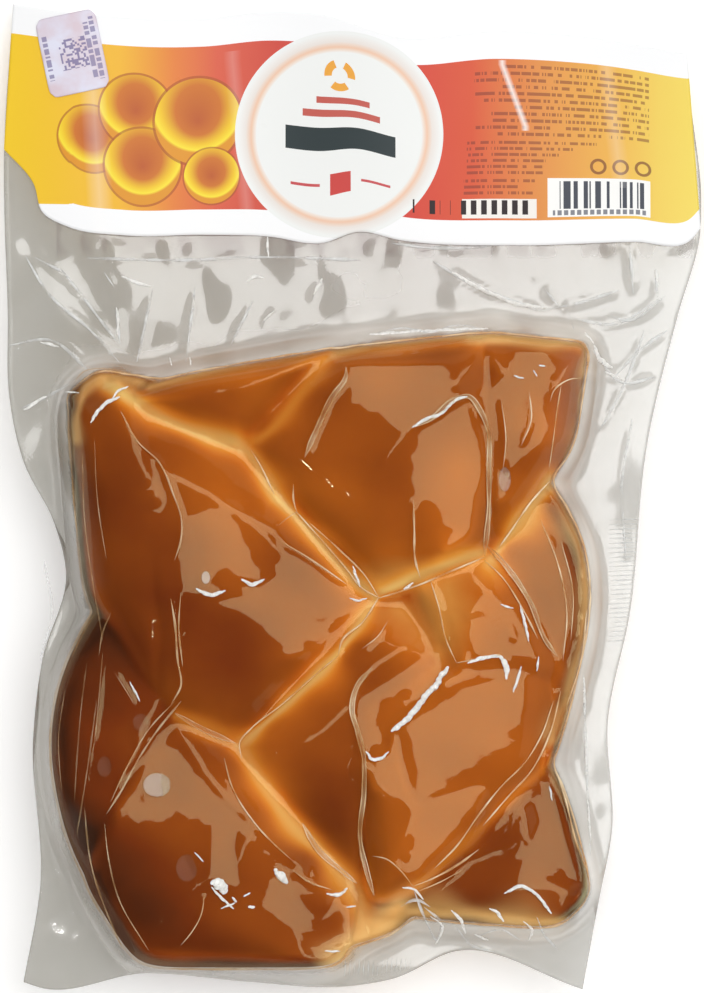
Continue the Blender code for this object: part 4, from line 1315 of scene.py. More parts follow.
def small_print(f, s, t):
    """Layers of the blocks of small bars, the tag with its bars and marks, and the rings."""
    layers = [(bar_rows(f, s, t, block) * 0.62, (120, 52, 40)) for block in TEXT_BLOCKS]
    bars = f.chance((s / TAG_BAR_STEP).floor() + 3.0) > 0.52
    marks = (s / TAG_MARK_STEP).part() > 0.35
    layers += [(box_mask(s, t, TAG_BOX), (246, 246, 244)),
               (box_mask(s, t, TAG_BARS) * bars, (70, 74, 84)),
               (box_mask(s, t, TAG_MARKS) * marks, (130, 132, 140))]
    for number in range(3):
        away = distance_from(s, t, (RINGS_FIRST[0] + number * RINGS_STEP, RINGS_FIRST[1]))
        layers.append((((away - RINGS_RADIUS).size() < RINGS_HALF) * 0.8, (120, 66, 44)))
    return layers


def disc_print(f, s, t):
    """Layers of the disc with its rings, its plain marks and the petals, on the front alone."""
    front = 1.0 - (t > BACK_FROM)
    x, y = f.split(f.place())
    away = distance_from(x / MM, y / MM, DISC_CENTRE)
    ring = (1.0 - (away - DISC_RING).size() / RING_HALF).held() ** 0.8
    soft_ring = (1.0 - (away - SOFT_RING).size() / SOFT_RING_HALF).held()
    layers = [(away < DISC_SIZE, (238, 240, 239)), (ring * 0.75, (238, 184, 142)),
              (soft_ring * 0.25, (214, 168, 140))]
    layers += [(box_mask(s, t, sides), ink) for sides, ink in DISC_MARKS]
    away = distance_from(s, t, PETALS_MIDDLE)
    turn = f.node("Math", {"operation": "ARCTAN2"}, s0=t - PETALS_MIDDLE[1],
                  s1=s - PETALS_MIDDLE[0])
    petals = ((away - PETALS_RADIUS).size() < PETALS_HALF) * ((turn * PETALS).sine() > PETAL_GAP)
    layers.append((petals, (236, 168, 70)))
    return [(share * front, ink) for share, ink in layers]


def date_and_glares(f, s, t):
    """Layers of the date's strip with its marks, and of the painted glares over all the print.

    A glare runs straight between its ends and is palest in the middle of its width.
    """
    digits = f.chance((s / DATE_DIGIT_STEP).floor() + 0.5) > 0.2
    marks = ((s / DATE_MARK_STEP).part() > 0.45) * digits
    layers = [(box_mask(s, t, DATE_STRIP), (240, 236, 230)),
              (box_mask(s, t, DATE_MARKS) * marks, (44, 34, 36))]
    for (start_s, start_t), (end_s, end_t), half, strength in GLARES:
        run = ((t - start_t) / (end_t - start_t)).held()
        off = (s - (run * (end_s - start_s) + start_s)).size() / half
        ends = (t > end_t - half) * (t < start_t + half)
        layers.append(((1.0 - off).held() * ends * strength, (252, 250, 248)))
    return layers


def print_finish():
    """The header's print: white borders, shaded fields, rounds, a disc and rows of bars.

    The print's map runs across from the middle and up from the lower edge, on a front of
    LABEL_HEIGHT and past the fold down the back.
    """
    f = Finish("header_print")
    s, t = f.print_map()
    edge = ((t < PRINT_BORDER) + (t > LABEL_HEIGHT - PRINT_BORDER)
            * (t < LABEL_HEIGHT + BORDER_PAST_FOLD))
    shown = print_fields(f, s, t)
    for share, ink in (*small_print(f, s, t), (edge.held(), (247, 248, 250)),
                       *disc_print(f, s, t), *date_and_glares(f, s, t)):
        shown = f.mix(share, shown, colour(*ink))
    shade = f.node("TexNoise", {"noise_dimensions": "1D"}, W=s * 0.035, Detail=1.0)
    wear = f.noise(f.place(), 90.0, 3.0)
    return f.finish(f.solid(Base_Color=shown, Roughness=0.22 + wear * 0.16 + shade * 0.02,
                            Specular_IOR_Level=0.15, Normal=f.grain(500.0, 0.08, 0.0001)))


CODE_BLOCK, CODE_CELL = (-3.6, 4.4, -4.6, 4.4), 0.62
# Columns of short bars beside it: middle, low and high, then their sides and step.
CODE_COLUMNS = [(-7.2, -6.8, 6.4), (5.4, -9.0, 8.2), (7.2, -9.0, 9.6)]
COLUMN_LEFT, COLUMN_RIGHT, COLUMN_STEP = 0.75, 0.65, 0.55


def sticker_finish():
    """Lilac paper with a block of small squares between columns of short bars."""
    f = Finish("lilac_sticker")
    s, t = f.print_map()
    cloud = f.noise(f.place(), 120.0, 3.0)
    shown = f.mix(cloud.step(0.35, 0.65), colour(212, 194, 206), colour(220, 220, 238))
    ink = colour(92, 80, 140)
    cell = f.chance((s / CODE_CELL).floor() + (t / CODE_CELL).floor() * 29.0)
    shown = f.mix(box_mask(s, t, CODE_BLOCK) * (cell > 0.5) * 0.8, shown, ink)
    for middle, low, high in CODE_COLUMNS:
        bars = f.chance((t / COLUMN_STEP).floor() + middle) > 0.3
        column = box_mask(s, t, (middle - COLUMN_LEFT, middle + COLUMN_RIGHT, low, high))
        shown = f.mix(column * bars * 0.7, shown, ink)
    return f.finish(f.solid(Base_Color=shown, Roughness=0.32 + cloud * 0.2,
                            Normal=f.grain(600.0, 0.1, 0.0001)))


# --- the braid ---

BRAID_INSET = 0.25          # the cheese lies this far inside the solid's lobes
BRAID_LOWER = 0.35          # and this far below their tops
BRAID_VOXEL = 1.0
BRAID_SMOOTHING, BRAID_SMOOTHINGS = 0.5, 3
BRAID_LEANS_OVER = 10.0     # it leans with the film, in full from this height over the seam
BRAID_OVER_FILM = 0.3       # it stays this far above the lower film
PILLOW_RINGS, PILLOW_SIDES = 36, 96
PILLOW_REACH = 0.497        # half turns from the seam to a lobe's last ring
OUTLINE_RAYS = 721
TONE_BLEND = 0.8            # of height, over which the tones of two lobes mix at a crease
TONE_HEIGHT, TONE_LEVEL = 30.0, 1.1         # a height near theirs, and how far out a tone counts
GLOW_POINTS = 40
WARMTH, WARMTH_WIDE = 0.28, 2.2             # paler tone round a crease, partly painted glow: how much, how wide
FLANK_LEVEL, FLANK_OVER = 0.84, 0.10        # lobe levels over which a flank's painted light and shade set in
FLANK_PAINTED_SHADE, FLANK_PAINTED_LIGHT = 0.30, 0.56
BORDER_LEVEL, BORDER_OVER = 0.93, 0.05      # and those over which the skin gets pale, more to the upper right as painted light
# The border's paleness everywhere, and what painted light adds towards the upper right.
BORDER_PALE, BORDER_PAINTED_LIGHT = 0.04, 0.50


def lobe_outline(gauge, share):
    """Offsets from the centre of the lobe's rounded outline, at shares of its length."""
    _, normals, distances = gauge
    angle = np.linspace(0, 2 * math.pi, OUTLINE_RAYS)
    ray = np.stack([np.cos(angle), np.sin(angle)], axis=1)
    reach = np.maximum(0, ray @ normals.T / distances) ** CORNER_SHARPNESS
    outline = ray / (reach.sum(axis=1) ** (1 / CORNER_SHARPNESS))[:, None]
    length = np.concatenate([[0], np.cumsum(np.linalg.norm(np.diff(outline, axis=0), axis=1))])
    at = np.asarray(share) * length[-1]
    return np.stack([np.interp(at, length, outline[:, 0]),
                     np.interp(at, length, outline[:, 1])], axis=1)


def pillow(name, lobes):
    """Rings of one lobe from its underside up, just inside the solid's lobe.

    At latitude p the outline is scaled by cos(p) ** (2 / SHOULDER) and the height above or
    below the seam is SIDE_WALL + (1 - SIDE_WALL) * sin(p) ** (2 / CROWN) of the half height.
    """
    _, top, slope = lobes[name]
    gauge = lobe_gauge(name, lobes, grow=-BRAID_INSET)
    outline = lobe_outline(gauge, np.arange(PILLOW_SIDES) / PILLOW_SIDES)
    latitude = np.linspace(-PILLOW_REACH, PILLOW_REACH, PILLOW_RINGS) * math.pi
    sine = np.sin(latitude)[:, None]
    offset = outline[None] * (np.cos(latitude) ** (2 / SHOULDER))[:, None, None]
    rise = SIDE_WALL + (1 - SIDE_WALL) * np.abs(sine) ** (2 / CROWN)
    lean = offset @ np.array(slope)
    upper = (top - BRAID_LOWER - SEAM_HEIGHT + lean) * rise
    lower = -(lobe_depth(name) - BRAID_LOWER) * rise
    height = SEAM_HEIGHT + np.where(sine > 0, upper, lower)
    return np.concatenate([gauge[0] + offset, height[..., None]], axis=2)


def braid_mesh(field):
    """Every lobe joined into one skin by a remesh, smoothed, and flat where it rests.

    Its upper side leans with the film.
    """
    shape = Shape()
    for lobes in (LOBES, CORE_LOBES):
        for name in lobes:
            shape.tube(pillow(name, lobes))
    rough = new_object("strands", shape.mesh("strands"))
    skin = rough.modifiers.new("Skin", "REMESH")
    skin.mode = "VOXEL"
    skin.voxel_size = BRAID_VOXEL * MM
    soft = rough.modifiers.new("Soft", "SMOOTH")
    soft.factor = BRAID_SMOOTHING
    soft.iterations = BRAID_SMOOTHINGS
    graph = bpy.context.evaluated_depsgraph_get()
    mesh = bpy.data.meshes.new_from_object(rough.evaluated_get(graph))
    bpy.data.objects.remove(rough, do_unlink=True)
    mesh.name = "smoked_braid"
    points = places(mesh)
    upper = np.clip((points[:, 2] - SEAM_HEIGHT) / BRAID_LEANS_OVER, 0, 1)
    points[:, 2] += upper * read_field(field.lean, points[:, 0], points[:, 1])
    points[:, 2] = np.maximum(points[:, 2], FILM_LOWEST + BRAID_OVER_FILM)
    mesh.vertices.foreach_set("co", (points * MM).ravel())
    mesh.update()
    mesh.shade_smooth()
    return mesh


def smoke_and_light_tone(x, y):
    """0 where the rind is darkest, 1 where palest: a tone for each lobe, and spots, partly the
    smoke's own and partly painted light and shade.

    Near a crease the tones of its lobes mix, each weighed by e ** (its height there).
    """
    total, weight = np.zeros(x.shape), np.full(x.shape, 1e-9)
    for name in LOBES:
        level, _, height = lobe_at(x, y, name, LOBES)
        share = np.exp((height - TONE_HEIGHT) / TONE_BLEND) * (level < TONE_LEVEL)
        total += LOBE_TONES[name] * share
        weight += share
    tone = total / weight + uneven(x, y, TONE_RIPPLE)
    for (middle_x, middle_y), radius, change in TONE_AND_LIGHT_SPOTS:
        away = np.hypot(x - middle_x, y - middle_y) / radius
        tone = tone + change * np.exp(-away ** 2)
    return np.clip(tone, 0, 1)


def line_glow(x, y, lines, wide=1.0):
    """The strength of each line in its middle, times e ** -(distance / half width) ** 2.

    The half width is uneven along the line, and wide times the one given.
    """
    glow = np.zeros(np.shape(x))
    width = wide * (1 + uneven(x, y, GLOW_RIPPLE)).clip(0.5, 1.6)
    for points, half, strength in lines:
        gap, _ = nearest_on_line(x, y, smooth_curve(points, np.linspace(0, 1, GLOW_POINTS)))
        glow = np.maximum(glow, strength * np.exp(-(gap / (half * width)) ** 2))
    return glow


def build_braid(field, finish):
    """The braided cheese, with its smoke's tone, its creases' glow and its pale skin.

    The tone is paler round a crease, partly as painted glow. Where a lobe turns down to the rim,
    tone and skin go from darker at the lower left to paler at the upper right: painted shade and
    painted light.
    """
    mesh = braid_mesh(field)
    x, y, _ = places(mesh).T
    least = lobes_over(x, y)[2]
    # A flank is darkened as painted shade, and paled towards the upper right as painted light.
    flank = np.clip((least - FLANK_LEVEL) / FLANK_OVER, 0, 1)
    flank *= FLANK_PAINTED_LIGHT * along_way(x, y, FAR_RIGHT, -100.0, 100.0) - FLANK_PAINTED_SHADE
    # Round a crease the tone is paler, partly as painted glow.
    warm = WARMTH * line_glow(x, y, CREASES, WARMTH_WIDE)
    put_numbers(mesh, "tone", np.clip(smoke_and_light_tone(x, y) + warm + flank, 0, 1))
    put_numbers(mesh, "glow", line_glow(x, y, CREASES))
    border = BORDER_LEVEL + uneven(x, y, BORDER_RIPPLE)
    edge = np.clip((least - border) / BORDER_OVER, 0, 1)
    # The border's paleness grows towards the upper right: painted light.
    edge *= BORDER_PALE + BORDER_PAINTED_LIGHT * along_way(x, y, FAR_RIGHT, -60.0, 80.0)
    put_numbers(mesh, "pale", np.maximum(line_glow(x, y, PALE_SKIN), edge))
    return new_piece("smoked_braid", mesh, finish, "smoked_cheese", "sealed_bag")


# --- the bag ---

def bag_plan(u, v):
    """x, y on the bag: a Coons patch between its four edges (as in the solid)."""
    inner_end = np.array(FOLD_EDGE) - np.array([0.0, FOLD_INSET])
    left, right = smooth_curve(BAG_LEFT, v), smooth_curve(BAG_RIGHT, v)
    near, far = smooth_curve(BAG_BOTTOM, u), smooth_curve(inner_end, u)
    u, v = u[None, :, None], v[:, None, None]
    corners = ((1 - u) * (1 - v) * BAG_BOTTOM[0] + u * (1 - v) * np.array(BAG_BOTTOM[-1])
               + (1 - u) * v * inner_end[0] + u * v * inner_end[-1])
    return (1 - u) * left[:, None] + u * right[:, None] + (1 - v) * near + v * far - corners


def film_rows():
    """Shares of the bag's length, close together over the cheese and wider past it."""
    length = BAG_LEFT[-1][1] - BAG_LEFT[0][1]
    bend = (HEADER_FROM - BAG_LEFT[0][1]) / length
    dense = np.linspace(0, bend, FILM_ROWS - HEADER_ROWS, endpoint=False)
    return np.concatenate([dense, np.linspace(bend, 1, HEADER_ROWS)])


def outline_numbers(numbers):
    """The numbers of a grid's outer points, once round, anticlockwise."""
    return np.concatenate([numbers[0, :-1], numbers[:-1, -1],
                           numbers[-1, :0:-1], numbers[:0:-1, 0]])


def film_mesh(field):
    """An upper and a lower film on one plan, joined all round at the rim.

    The lower one has every second row and column, so three faces join each pair of edges.
    """
    plan = bag_plan(np.linspace(0, 1, FILM_COLUMNS), film_rows())
    upper = np.dstack([plan, field.top(plan[..., 0], plan[..., 1])])
    coarse = plan[::2, ::2]
    lower = np.dstack([coarse, field.bottom(coarse[..., 0], coarse[..., 1])])
    shape = Shape()
    over = outline_numbers(shape.sheet(upper))
    under = outline_numbers(shape.sheet(lower, flip=True))
    a, b, c = over[0::2], over[1::2], np.roll(over[0::2], -1)
    d, e = under, np.roll(under, -1)
    for corner in ((b, a, d), (c, b, e), (b, d, e)):
        shape.faces.append(np.stack(corner, axis=1))
    return shape.mesh("vacuum_film")


def film_haze(field, x, y):
    """How milky the film is: the rim, the wall where it drops to it, and the cheese's sides.

    The wall's haze, partly painted light over the shade under the rim, is e ** -(distance / reach)
    ** 2, uneven and less to the left, where shade falls. A side's grows with its slope, and is more
    where it faces left or lies in HAZED.
    """
    apart = read_field(field.apart, x, y)
    rim = np.clip(apart / RIM_HAZE_OVER, 0, 1)
    wall = WALL_HAZE_AND_LIGHT * np.clip(apart / WALL_HAZE_OVER, 0, 1)
    wall = wall * np.exp(-(apart / WALL_HAZE_REACH) ** 2)
    # Less to the left, where the shade is left showing.
    wall *= np.maximum(along_way(x, y, MOSTLY_RIGHT, -100.0, 100.0), WALL_HAZE_LEAST)
    wall *= np.clip(1 + uneven(x, y, WALL_RIPPLE), 0.2, 2)
    up_x, up_y, slope = field.uphill(x, y)
    left = np.clip((RIGHT_FAR[0] * up_x + RIGHT_FAR[1] * up_y) / (slope + LEVEL_SLOPE), 0, 1)
    side = np.clip((slope - STEEP_FROM) / STEEP_OVER, 0, 1) * (STEEP_HAZE + LEFT_HAZE * left)
    return np.maximum(side, read_field(field.hazed, x, y)) + RIM_HAZE * rim + wall + LEAST_HAZE


def film_dim(field, x, y):
    """How much less it mirrors: on steep sides, at the lower left or facing the near side."""
    _, up_y, slope = field.uphill(x, y)
    turned = np.clip((slope - DIM_FROM) / DIM_OVER, 0, 1)
    near = np.clip(up_y / (slope + LEVEL_SLOPE), 0, 1) ** 2
    shaded = along_way(x, y, LEFT_NEAR, 50.0, 50.0)
    return MOST_DIM * turned * np.maximum(shaded, near)


def build_film(field, finish):
    """The bag's film, with how milky it is and how much less it mirrors at its points."""
    mesh = film_mesh(field)
    x, y, _ = places(mesh).T
    put_numbers(mesh, "haze", film_haze(field, x, y))
    put_numbers(mesh, "dim", film_dim(field, x, y))
    return new_piece("vacuum_film", mesh, finish, "clear_film", "sealed_bag")


# --- folds and glints of the film ---

THREAD_STEP, FEWEST_RINGS = 0.8, 8
TAPER_LENGTH, TAPER_LEAST, TAPER_POWER = 4.0, 0.08, 0.7
THREAD_UNEVEN, THREAD_WAVES = 0.16, (4, 5.0, 14.0)      # of its size: height, count, lengths
THREAD_THICK = 0.55         # half height as a share of the half width
THREAD_LIFT = 0.05          # of its middle over the film
NARROW_SIZE, NARROW_MILK = 0.85, 1.15       # a narrow fold's thread, times its half width
BAND_HALF, BAND_MILK, BAND_THICK = 0.7, 0.35, 0.25
BRIGHT_HALF, BRIGHT_MILK, BRIGHT_ASIDE = 0.16, 1.2, 0.8
EDGE_POINTS, EDGE_THREADS = 361, 14         # round the cheese, and pieces of its painted highlight thread there
EDGE_OVERLAP = 6            # points that each piece runs on past its share
EDGE_RAY, EDGE_RAY_STEP, EDGE_OFF = (40.0, 125.0), 0.15, 0.1
EDGE_HALF, EDGE_MILK, EDGE_LEAST = 0.34, 0.95, 0.15
RIM_FOLD_HALF, RIM_FOLD_THICK = 0.4, 0.35
RIB_HALF, RIB_LIFT, RIB_SIDES, RIB_STEP = 0.22, 0.02, 6, 1.35
# The welded ribs on the right, from x out to the rim there, and those at the near end.
RIGHT_RIBS, RIGHT_RIB_X, RIGHT_RIB_SLANT = (-42.0, -6.0), 74.5, 0.4
RIGHT_RIM_Y, RIGHT_RIM_X = [-48.0, -22.0, -6.0], [78.5, 82.5, 82.8]
NEAR_RIBS, NEAR_RIB_Y, NEAR_RIB_SLANT = (-2.0, 17.0), -134.0, 0.3
NEAR_RIM_Y, NEAR_RIM_BEND, NEAR_RIM_SLOPE = -139.0, 9.0, 0.25
# First seeds of what is drawn by chance.
BRIGHT_SEED, BRIGHT_SEED_SIDE, EDGE_SEED = 100, 50, 200
RIM_FOLD_SEED, RIB_SEED, GLINT_SEED = 50, 90, 130


def fold_tube(field, points, half, lift, seed, sides=8, aside=0.0, thick=THREAD_THICK):
    """A thread of gathered film that runs along a line on the upper film, or aside of it.

    It tapers at both ends, and its size is uneven along its length.
    """
    turn = np.arange(sides) * 2 * math.pi / sides
    length = line_length(points)
    share = np.linspace(0, 1, max(FEWEST_RINGS, int(length / THREAD_STEP)))
    flat = smooth_curve(points, share)
    across = left_of(unit(np.gradient(flat, axis=0)))
    taper = np.clip(np.minimum(share, 1 - share) * length / TAPER_LENGTH, TAPER_LEAST, 1)
    taper = taper ** TAPER_POWER
    drift = aside * taper * (1 + uneven(share * length, share, DRIFT_RIPPLE))
    flat = flat + across * drift[:, None]
    swell = THREAD_UNEVEN * waves(share * length, share, seed, *THREAD_WAVES)
    size = half * taper * (1 + swell)
    height = field.top(flat[:, 0], flat[:, 1]) + lift
    ring_flat = flat[:, None] + across[:, None] * (size[:, None] * np.cos(turn))[..., None]
    ring_high = height[:, None] + size[:, None] * thick * np.sin(turn)
    return np.concatenate([ring_flat, ring_high[..., None]], axis=2)[:, ::-1]


def cheese_edge():
    """Points once round the cheese's outline: the farthest on each ray where a lobe is."""
    angle = np.linspace(0, 2 * math.pi, EDGE_POINTS)
    ray = np.stack([np.cos(angle), np.sin(angle)], axis=1)
    reach = np.arange(*EDGE_RAY, EDGE_RAY_STEP)
    x, y = (CHEESE_MIDDLE[axis] + ray[:, axis, None] * reach for axis in (0, 1))
    far = np.max(reach * (lobes_over(x, y)[2] < 1.0), axis=1) + EDGE_OFF
    return CHEESE_MIDDLE + far[:, None] * ray


def build_folds(field, finish):
    """The gathered folds of film over the cheese, and a painted highlight thread where it meets the
    rim, brighter towards the upper right.

    A broad fold is a faint band between two bright threads. The threads' cream is partly painted
    highlight.
    """
    shape = Shape()
    milk = []

    def thread(points, half, seed, share, **more):
        """One thread, and how milky each of its points is."""
        rings = fold_tube(field, points, half, THREAD_LIFT, seed, **more)
        shape.tube(rings)
        milk.append(np.full(tube_points(rings), share * fold_clearness(points)))

    for number, (points, half) in enumerate(FOLDS):
        if half < BROAD_FOLD:
            thread(points, half * NARROW_SIZE, number, NARROW_MILK)
            continue
        thread(points, BAND_HALF, number, BAND_MILK, thick=BAND_THICK)
        for side in (-1, 1):
            thread(points, BRIGHT_HALF, number + BRIGHT_SEED + BRIGHT_SEED_SIDE * side,
                   BRIGHT_MILK, aside=side * BAND_HALF * BRIGHT_ASIDE)
    edge = cheese_edge()
    count = (EDGE_POINTS - 1) // EDGE_THREADS
    for number in range(EDGE_THREADS):
        piece = np.arange(number * count - EDGE_OVERLAP, (number + 1) * count + EDGE_OVERLAP)
        piece %= EDGE_POINTS - 1
        # The edge thread's painted highlight is strongest towards the upper right.
        shown = along_way(*edge[piece].mean(axis=0), FAR_RIGHT, -150.0, 110.0)
        thread(edge[piece[::2]], EDGE_HALF, EDGE_SEED + number,
               EDGE_MILK * max(shown, EDGE_LEAST))
    mesh = shape.mesh("film_folds")
    put_numbers(mesh, "milk", np.concatenate(milk))
    return new_piece("film_folds", mesh, finish, "clear_film")


def weld_ribs():
    """The ends of each rib that the welding bar pressed into the rim."""
    for y in np.arange(*RIGHT_RIBS, RIB_STEP):
        end = float(np.interp(y, RIGHT_RIM_Y, RIGHT_RIM_X))
        yield (RIGHT_RIB_X, y), (end, y + RIGHT_RIB_SLANT)
    for x in np.arange(*NEAR_RIBS, RIB_STEP):
        end = NEAR_RIM_Y + max(0.0, x - NEAR_RIM_BEND) * NEAR_RIM_SLOPE
        yield (x, NEAR_RIB_Y), (x - NEAR_RIB_SLANT, end)


def build_rim_folds(field, finish):
    """The folds in the rim and the header, pale with painted glints, and the ribs of the weld."""
    shape = Shape()
    for number, (points, _, _) in enumerate(RIM_FOLDS):
        shape.tube(fold_tube(field, points, RIM_FOLD_HALF, THREAD_LIFT, RIM_FOLD_SEED + number,
                             thick=RIM_FOLD_THICK))
    for number, ends in enumerate(weld_ribs()):
        shape.tube(fold_tube(field, ends, RIB_HALF, RIB_LIFT, RIB_SEED + number, RIB_SIDES))
    return new_piece("weld_ribs", shape.mesh("weld_ribs"), finish, "clear_film")


GLINT_STEP, GLINT_LENGTH = 0.8, 1.1         # from lens to lens, and a lens's half length
GLINT_UNEVEN = 0.35         # how far a lens strays from its line, in half widths
GLINT_SIZES = (0.85, 1.3)
GLINT_LOOK = 0.05           # share of the line before and behind that gives its way
GLINT_TAPER, GLINT_END = 2.5, 0.45          # it narrows over this length, to this size
OVAL_LIGHT = (0.3, 0.3)     # an oval is tilted to this place in the softbox
LENS_SIDES, LENS_LIFT = 14, 0.2
# A lens's rings from its underside up: share of its half sizes, and height.
LENS_RINGS = [(0.45, -0.05), (0.9, -0.045), (1.0, 0.0), (0.9, 0.045), (0.45, 0.05)]


def lens(field, middle, ahead, half_length, half_width, light):
    """A small flat lens over the film, tilted so that it mirrors the light to the camera."""
    turn = np.arange(LENS_SIDES) * 2 * math.pi / LENS_SIDES
    oval = (np.cos(turn)[:, None] * half_length * ahead
            + np.sin(turn)[:, None] * half_width * left_of(ahead))
    offset = oval * np.array([scale for scale, _ in LENS_RINGS])[:, None, None]
    tilt = np.array([mirror_slope(light[0], middle[0]), mirror_slope(light[1], middle[1])])
    high = field.top(np.array([middle[0]]), np.array([middle[1]]))[0] + LENS_LIFT
    height = high - offset @ tilt + np.array([rise for _, rise in LENS_RINGS])[:, None]
    return np.concatenate([offset + middle, height[..., None]], axis=2)


def build_glints(field, finish):
    """The white glints: chains of small lenses, painted nearly white and tilted to mirror the lamp.
    """
    shape = Shape()
    for number, (points, half) in enumerate(GLINTS):
        length = line_length(points)
        count = max(2, int(round(length / GLINT_STEP)))
        share = (np.arange(count) + 0.5) / count
        middles = smooth_curve(points, share)
        ahead = unit(smooth_curve(points, np.clip(share + GLINT_LOOK, 0, 1))
                     - smooth_curve(points, np.clip(share - GLINT_LOOK, 0, 1)))
        draw = np.random.default_rng(GLINT_SEED + number)
        aside = draw.uniform(-GLINT_UNEVEN, GLINT_UNEVEN, count)[:, None] * half
        middles = middles + left_of(ahead) * aside
        ends = np.clip(np.minimum(share, 1 - share) * length / GLINT_TAPER, 0, 1)
        ends = GLINT_END + (1 - GLINT_END) * ends
        for middle, way, size in zip(middles, ahead, draw.uniform(*GLINT_SIZES, count) * ends):
            shape.tube(lens(field, middle, way, GLINT_LENGTH * size, half * size, LAMP))
    return new_piece("film_glints", shape.mesh("film_glints"), finish, "clear_film")


def build_pale_ovals(field, finish):
    """Painted round reflections: lenses of slightly milky film."""
    shape = Shape()
    milk = []
    for middle, half_width, half_length, strength in PALE_OVALS:
        rings = lens(field, np.array(middle), np.array([0.0, 1.0]), half_length, half_width,
                     OVAL_LIGHT)
        shape.tube(rings)
        milk.append(np.full(tube_points(rings), strength))
    mesh = shape.mesh("pale_ovals")
    put_numbers(mesh, "milk", np.concatenate(milk))
    return new_piece("pale_ovals", mesh, finish, "clear_film")


# --- the label and the sticker ---

LABEL_THICKNESS = 0.3
LABEL_LIFT = 0.8            # from the rim's middle surface to the label's
LABEL_COLUMNS, LABEL_FRONT_ROWS, LABEL_FOLD_ROWS, LABEL_BACK_ROWS = 241, 70, 9, 30
LABEL_BACK_WIDTH = 0.99     # the back flap's width, as a share of the front's
CUT_CORNER_X, UNCUT_Y = -82.0, 77.5         # the print runs on past the label's cut corner
PRINT_POINTS = 400
STICKER_COLUMNS, STICKER_ROWS = 41, 53
STICKER_THICKNESS = 0.2
STICKER_LIFT = 0.25         # from the label's face to the sticker's middle


def thicken(piece, thickness):
    """Makes a sheet this thick, half of it on either side."""
    sheet = piece.modifiers.new("Sheet", "SOLIDIFY")
    sheet.thickness = thickness * MM
    sheet.offset = 0.0
    return piece


def height_on(curve, x):
    """y of a smooth curve through points, at each x."""
    line = smooth_curve(curve, np.linspace(0, 1, PRINT_POINTS))
    return np.interp(x, line[:, 0], line[:, 1])


def label_points():
    """Rows of points up the front flap, half round the fold and down the back flap.

    They lie LABEL_LIFT off the rim's middle surface, at the angle turned so far.
    """
    u = np.linspace(0, 1, LABEL_COLUMNS)
    low = smooth_curve(LABEL_LOW_EDGE, u)
    fold = smooth_curve(FOLD_EDGE, u) - np.array([0.0, FOLD_INSET])
    back = np.column_stack([fold[:, 0] * LABEL_BACK_WIDTH,
                            np.maximum(low[:, 1], LABEL_BACK_EDGE)])
    up = np.linspace(0, 1, LABEL_FRONT_ROWS)[:, None, None]
    down = np.linspace(0, 1, LABEL_BACK_ROWS)[:, None, None]
    turn = np.linspace(0, math.pi, LABEL_FOLD_ROWS + 2)[1:-1, None]
    bent = np.repeat(fold[None], LABEL_FOLD_ROWS, axis=0)
    flat = np.concatenate([low + (fold - low) * up, bent, fold + (back - fold) * down])
    angle = np.concatenate([np.zeros((LABEL_FRONT_ROWS, 1)), turn,
                            np.full((LABEL_BACK_ROWS, 1), math.pi)])
    height = rim_height(flat[..., 0], flat[..., 1]) + LABEL_LIFT * np.cos(angle)
    return flat, np.dstack([flat[..., 0], flat[..., 1] + LABEL_LIFT * np.sin(angle), height])


def build_label(finish):
    """The folded label. Its print's map is x and the share of the front's height, 0 to 1.

    It runs on past 1 down the back.
    """
    flat, points = label_points()
    shape = Shape()
    shape.sheet(points)
    mesh = shape.mesh("printed_label")
    x, y = flat[..., 0], flat[..., 1]
    lowest = np.where(x < CUT_CORNER_X, UNCUT_Y, height_on(LABEL_LOW_EDGE, x))
    highest = height_on(FOLD_EDGE, x) - FOLD_INSET
    share = (y - lowest) / (highest - lowest)
    behind = slice(LABEL_FRONT_ROWS + LABEL_FOLD_ROWS, None)
    share[behind] = 2.0 - share[behind]
    put_map(mesh, "print", np.dstack([x, share * LABEL_HEIGHT]) * MM)
    return thicken(new_piece("printed_label", mesh, finish, "printed_label", "header_label"),
                   LABEL_THICKNESS)


def build_sticker(finish):
    """The small sticker: a turned oblong with soft corners that follows the label."""
    width, height = STICKER_SIZE
    u, v = np.meshgrid(np.linspace(-1, 1, STICKER_COLUMNS), np.linspace(-1, 1, STICKER_ROWS))
    soft = STICKER_CORNER / width
    across = u * width / 2 * (1 - soft * np.abs(v) ** 12 * np.abs(u) ** 6)
    along = v * height / 2 * (1 - soft * 0.7 * np.abs(u) ** 12 * np.abs(v) ** 6)
    x = STICKER_CENTRE[0] + across * math.cos(STICKER_TURN) - along * math.sin(STICKER_TURN)
    y = STICKER_CENTRE[1] + across * math.sin(STICKER_TURN) + along * math.cos(STICKER_TURN)
    high = rim_height(x, y) + LABEL_LIFT + LABEL_THICKNESS / 2 + STICKER_LIFT
    shape = Shape()
    shape.sheet(np.dstack([x, y, high]))
    mesh = shape.mesh("control_sticker_face")
    put_map(mesh, "print", np.dstack([across, along]) * MM)
    return thicken(new_piece("sticker", mesh, finish, "lilac_sticker", "control_sticker"),
                   STICKER_THICKNESS)


# --- stage, lights and camera ---

FLOOR_HALF = 12000.0
KEY_OVER, LAMP_UNDER, SKY_OVER = 50.0, 20.0, 400.0      # from the softbox's height
ROOM_TINT = (1.0, 0.99, 0.97, 1)


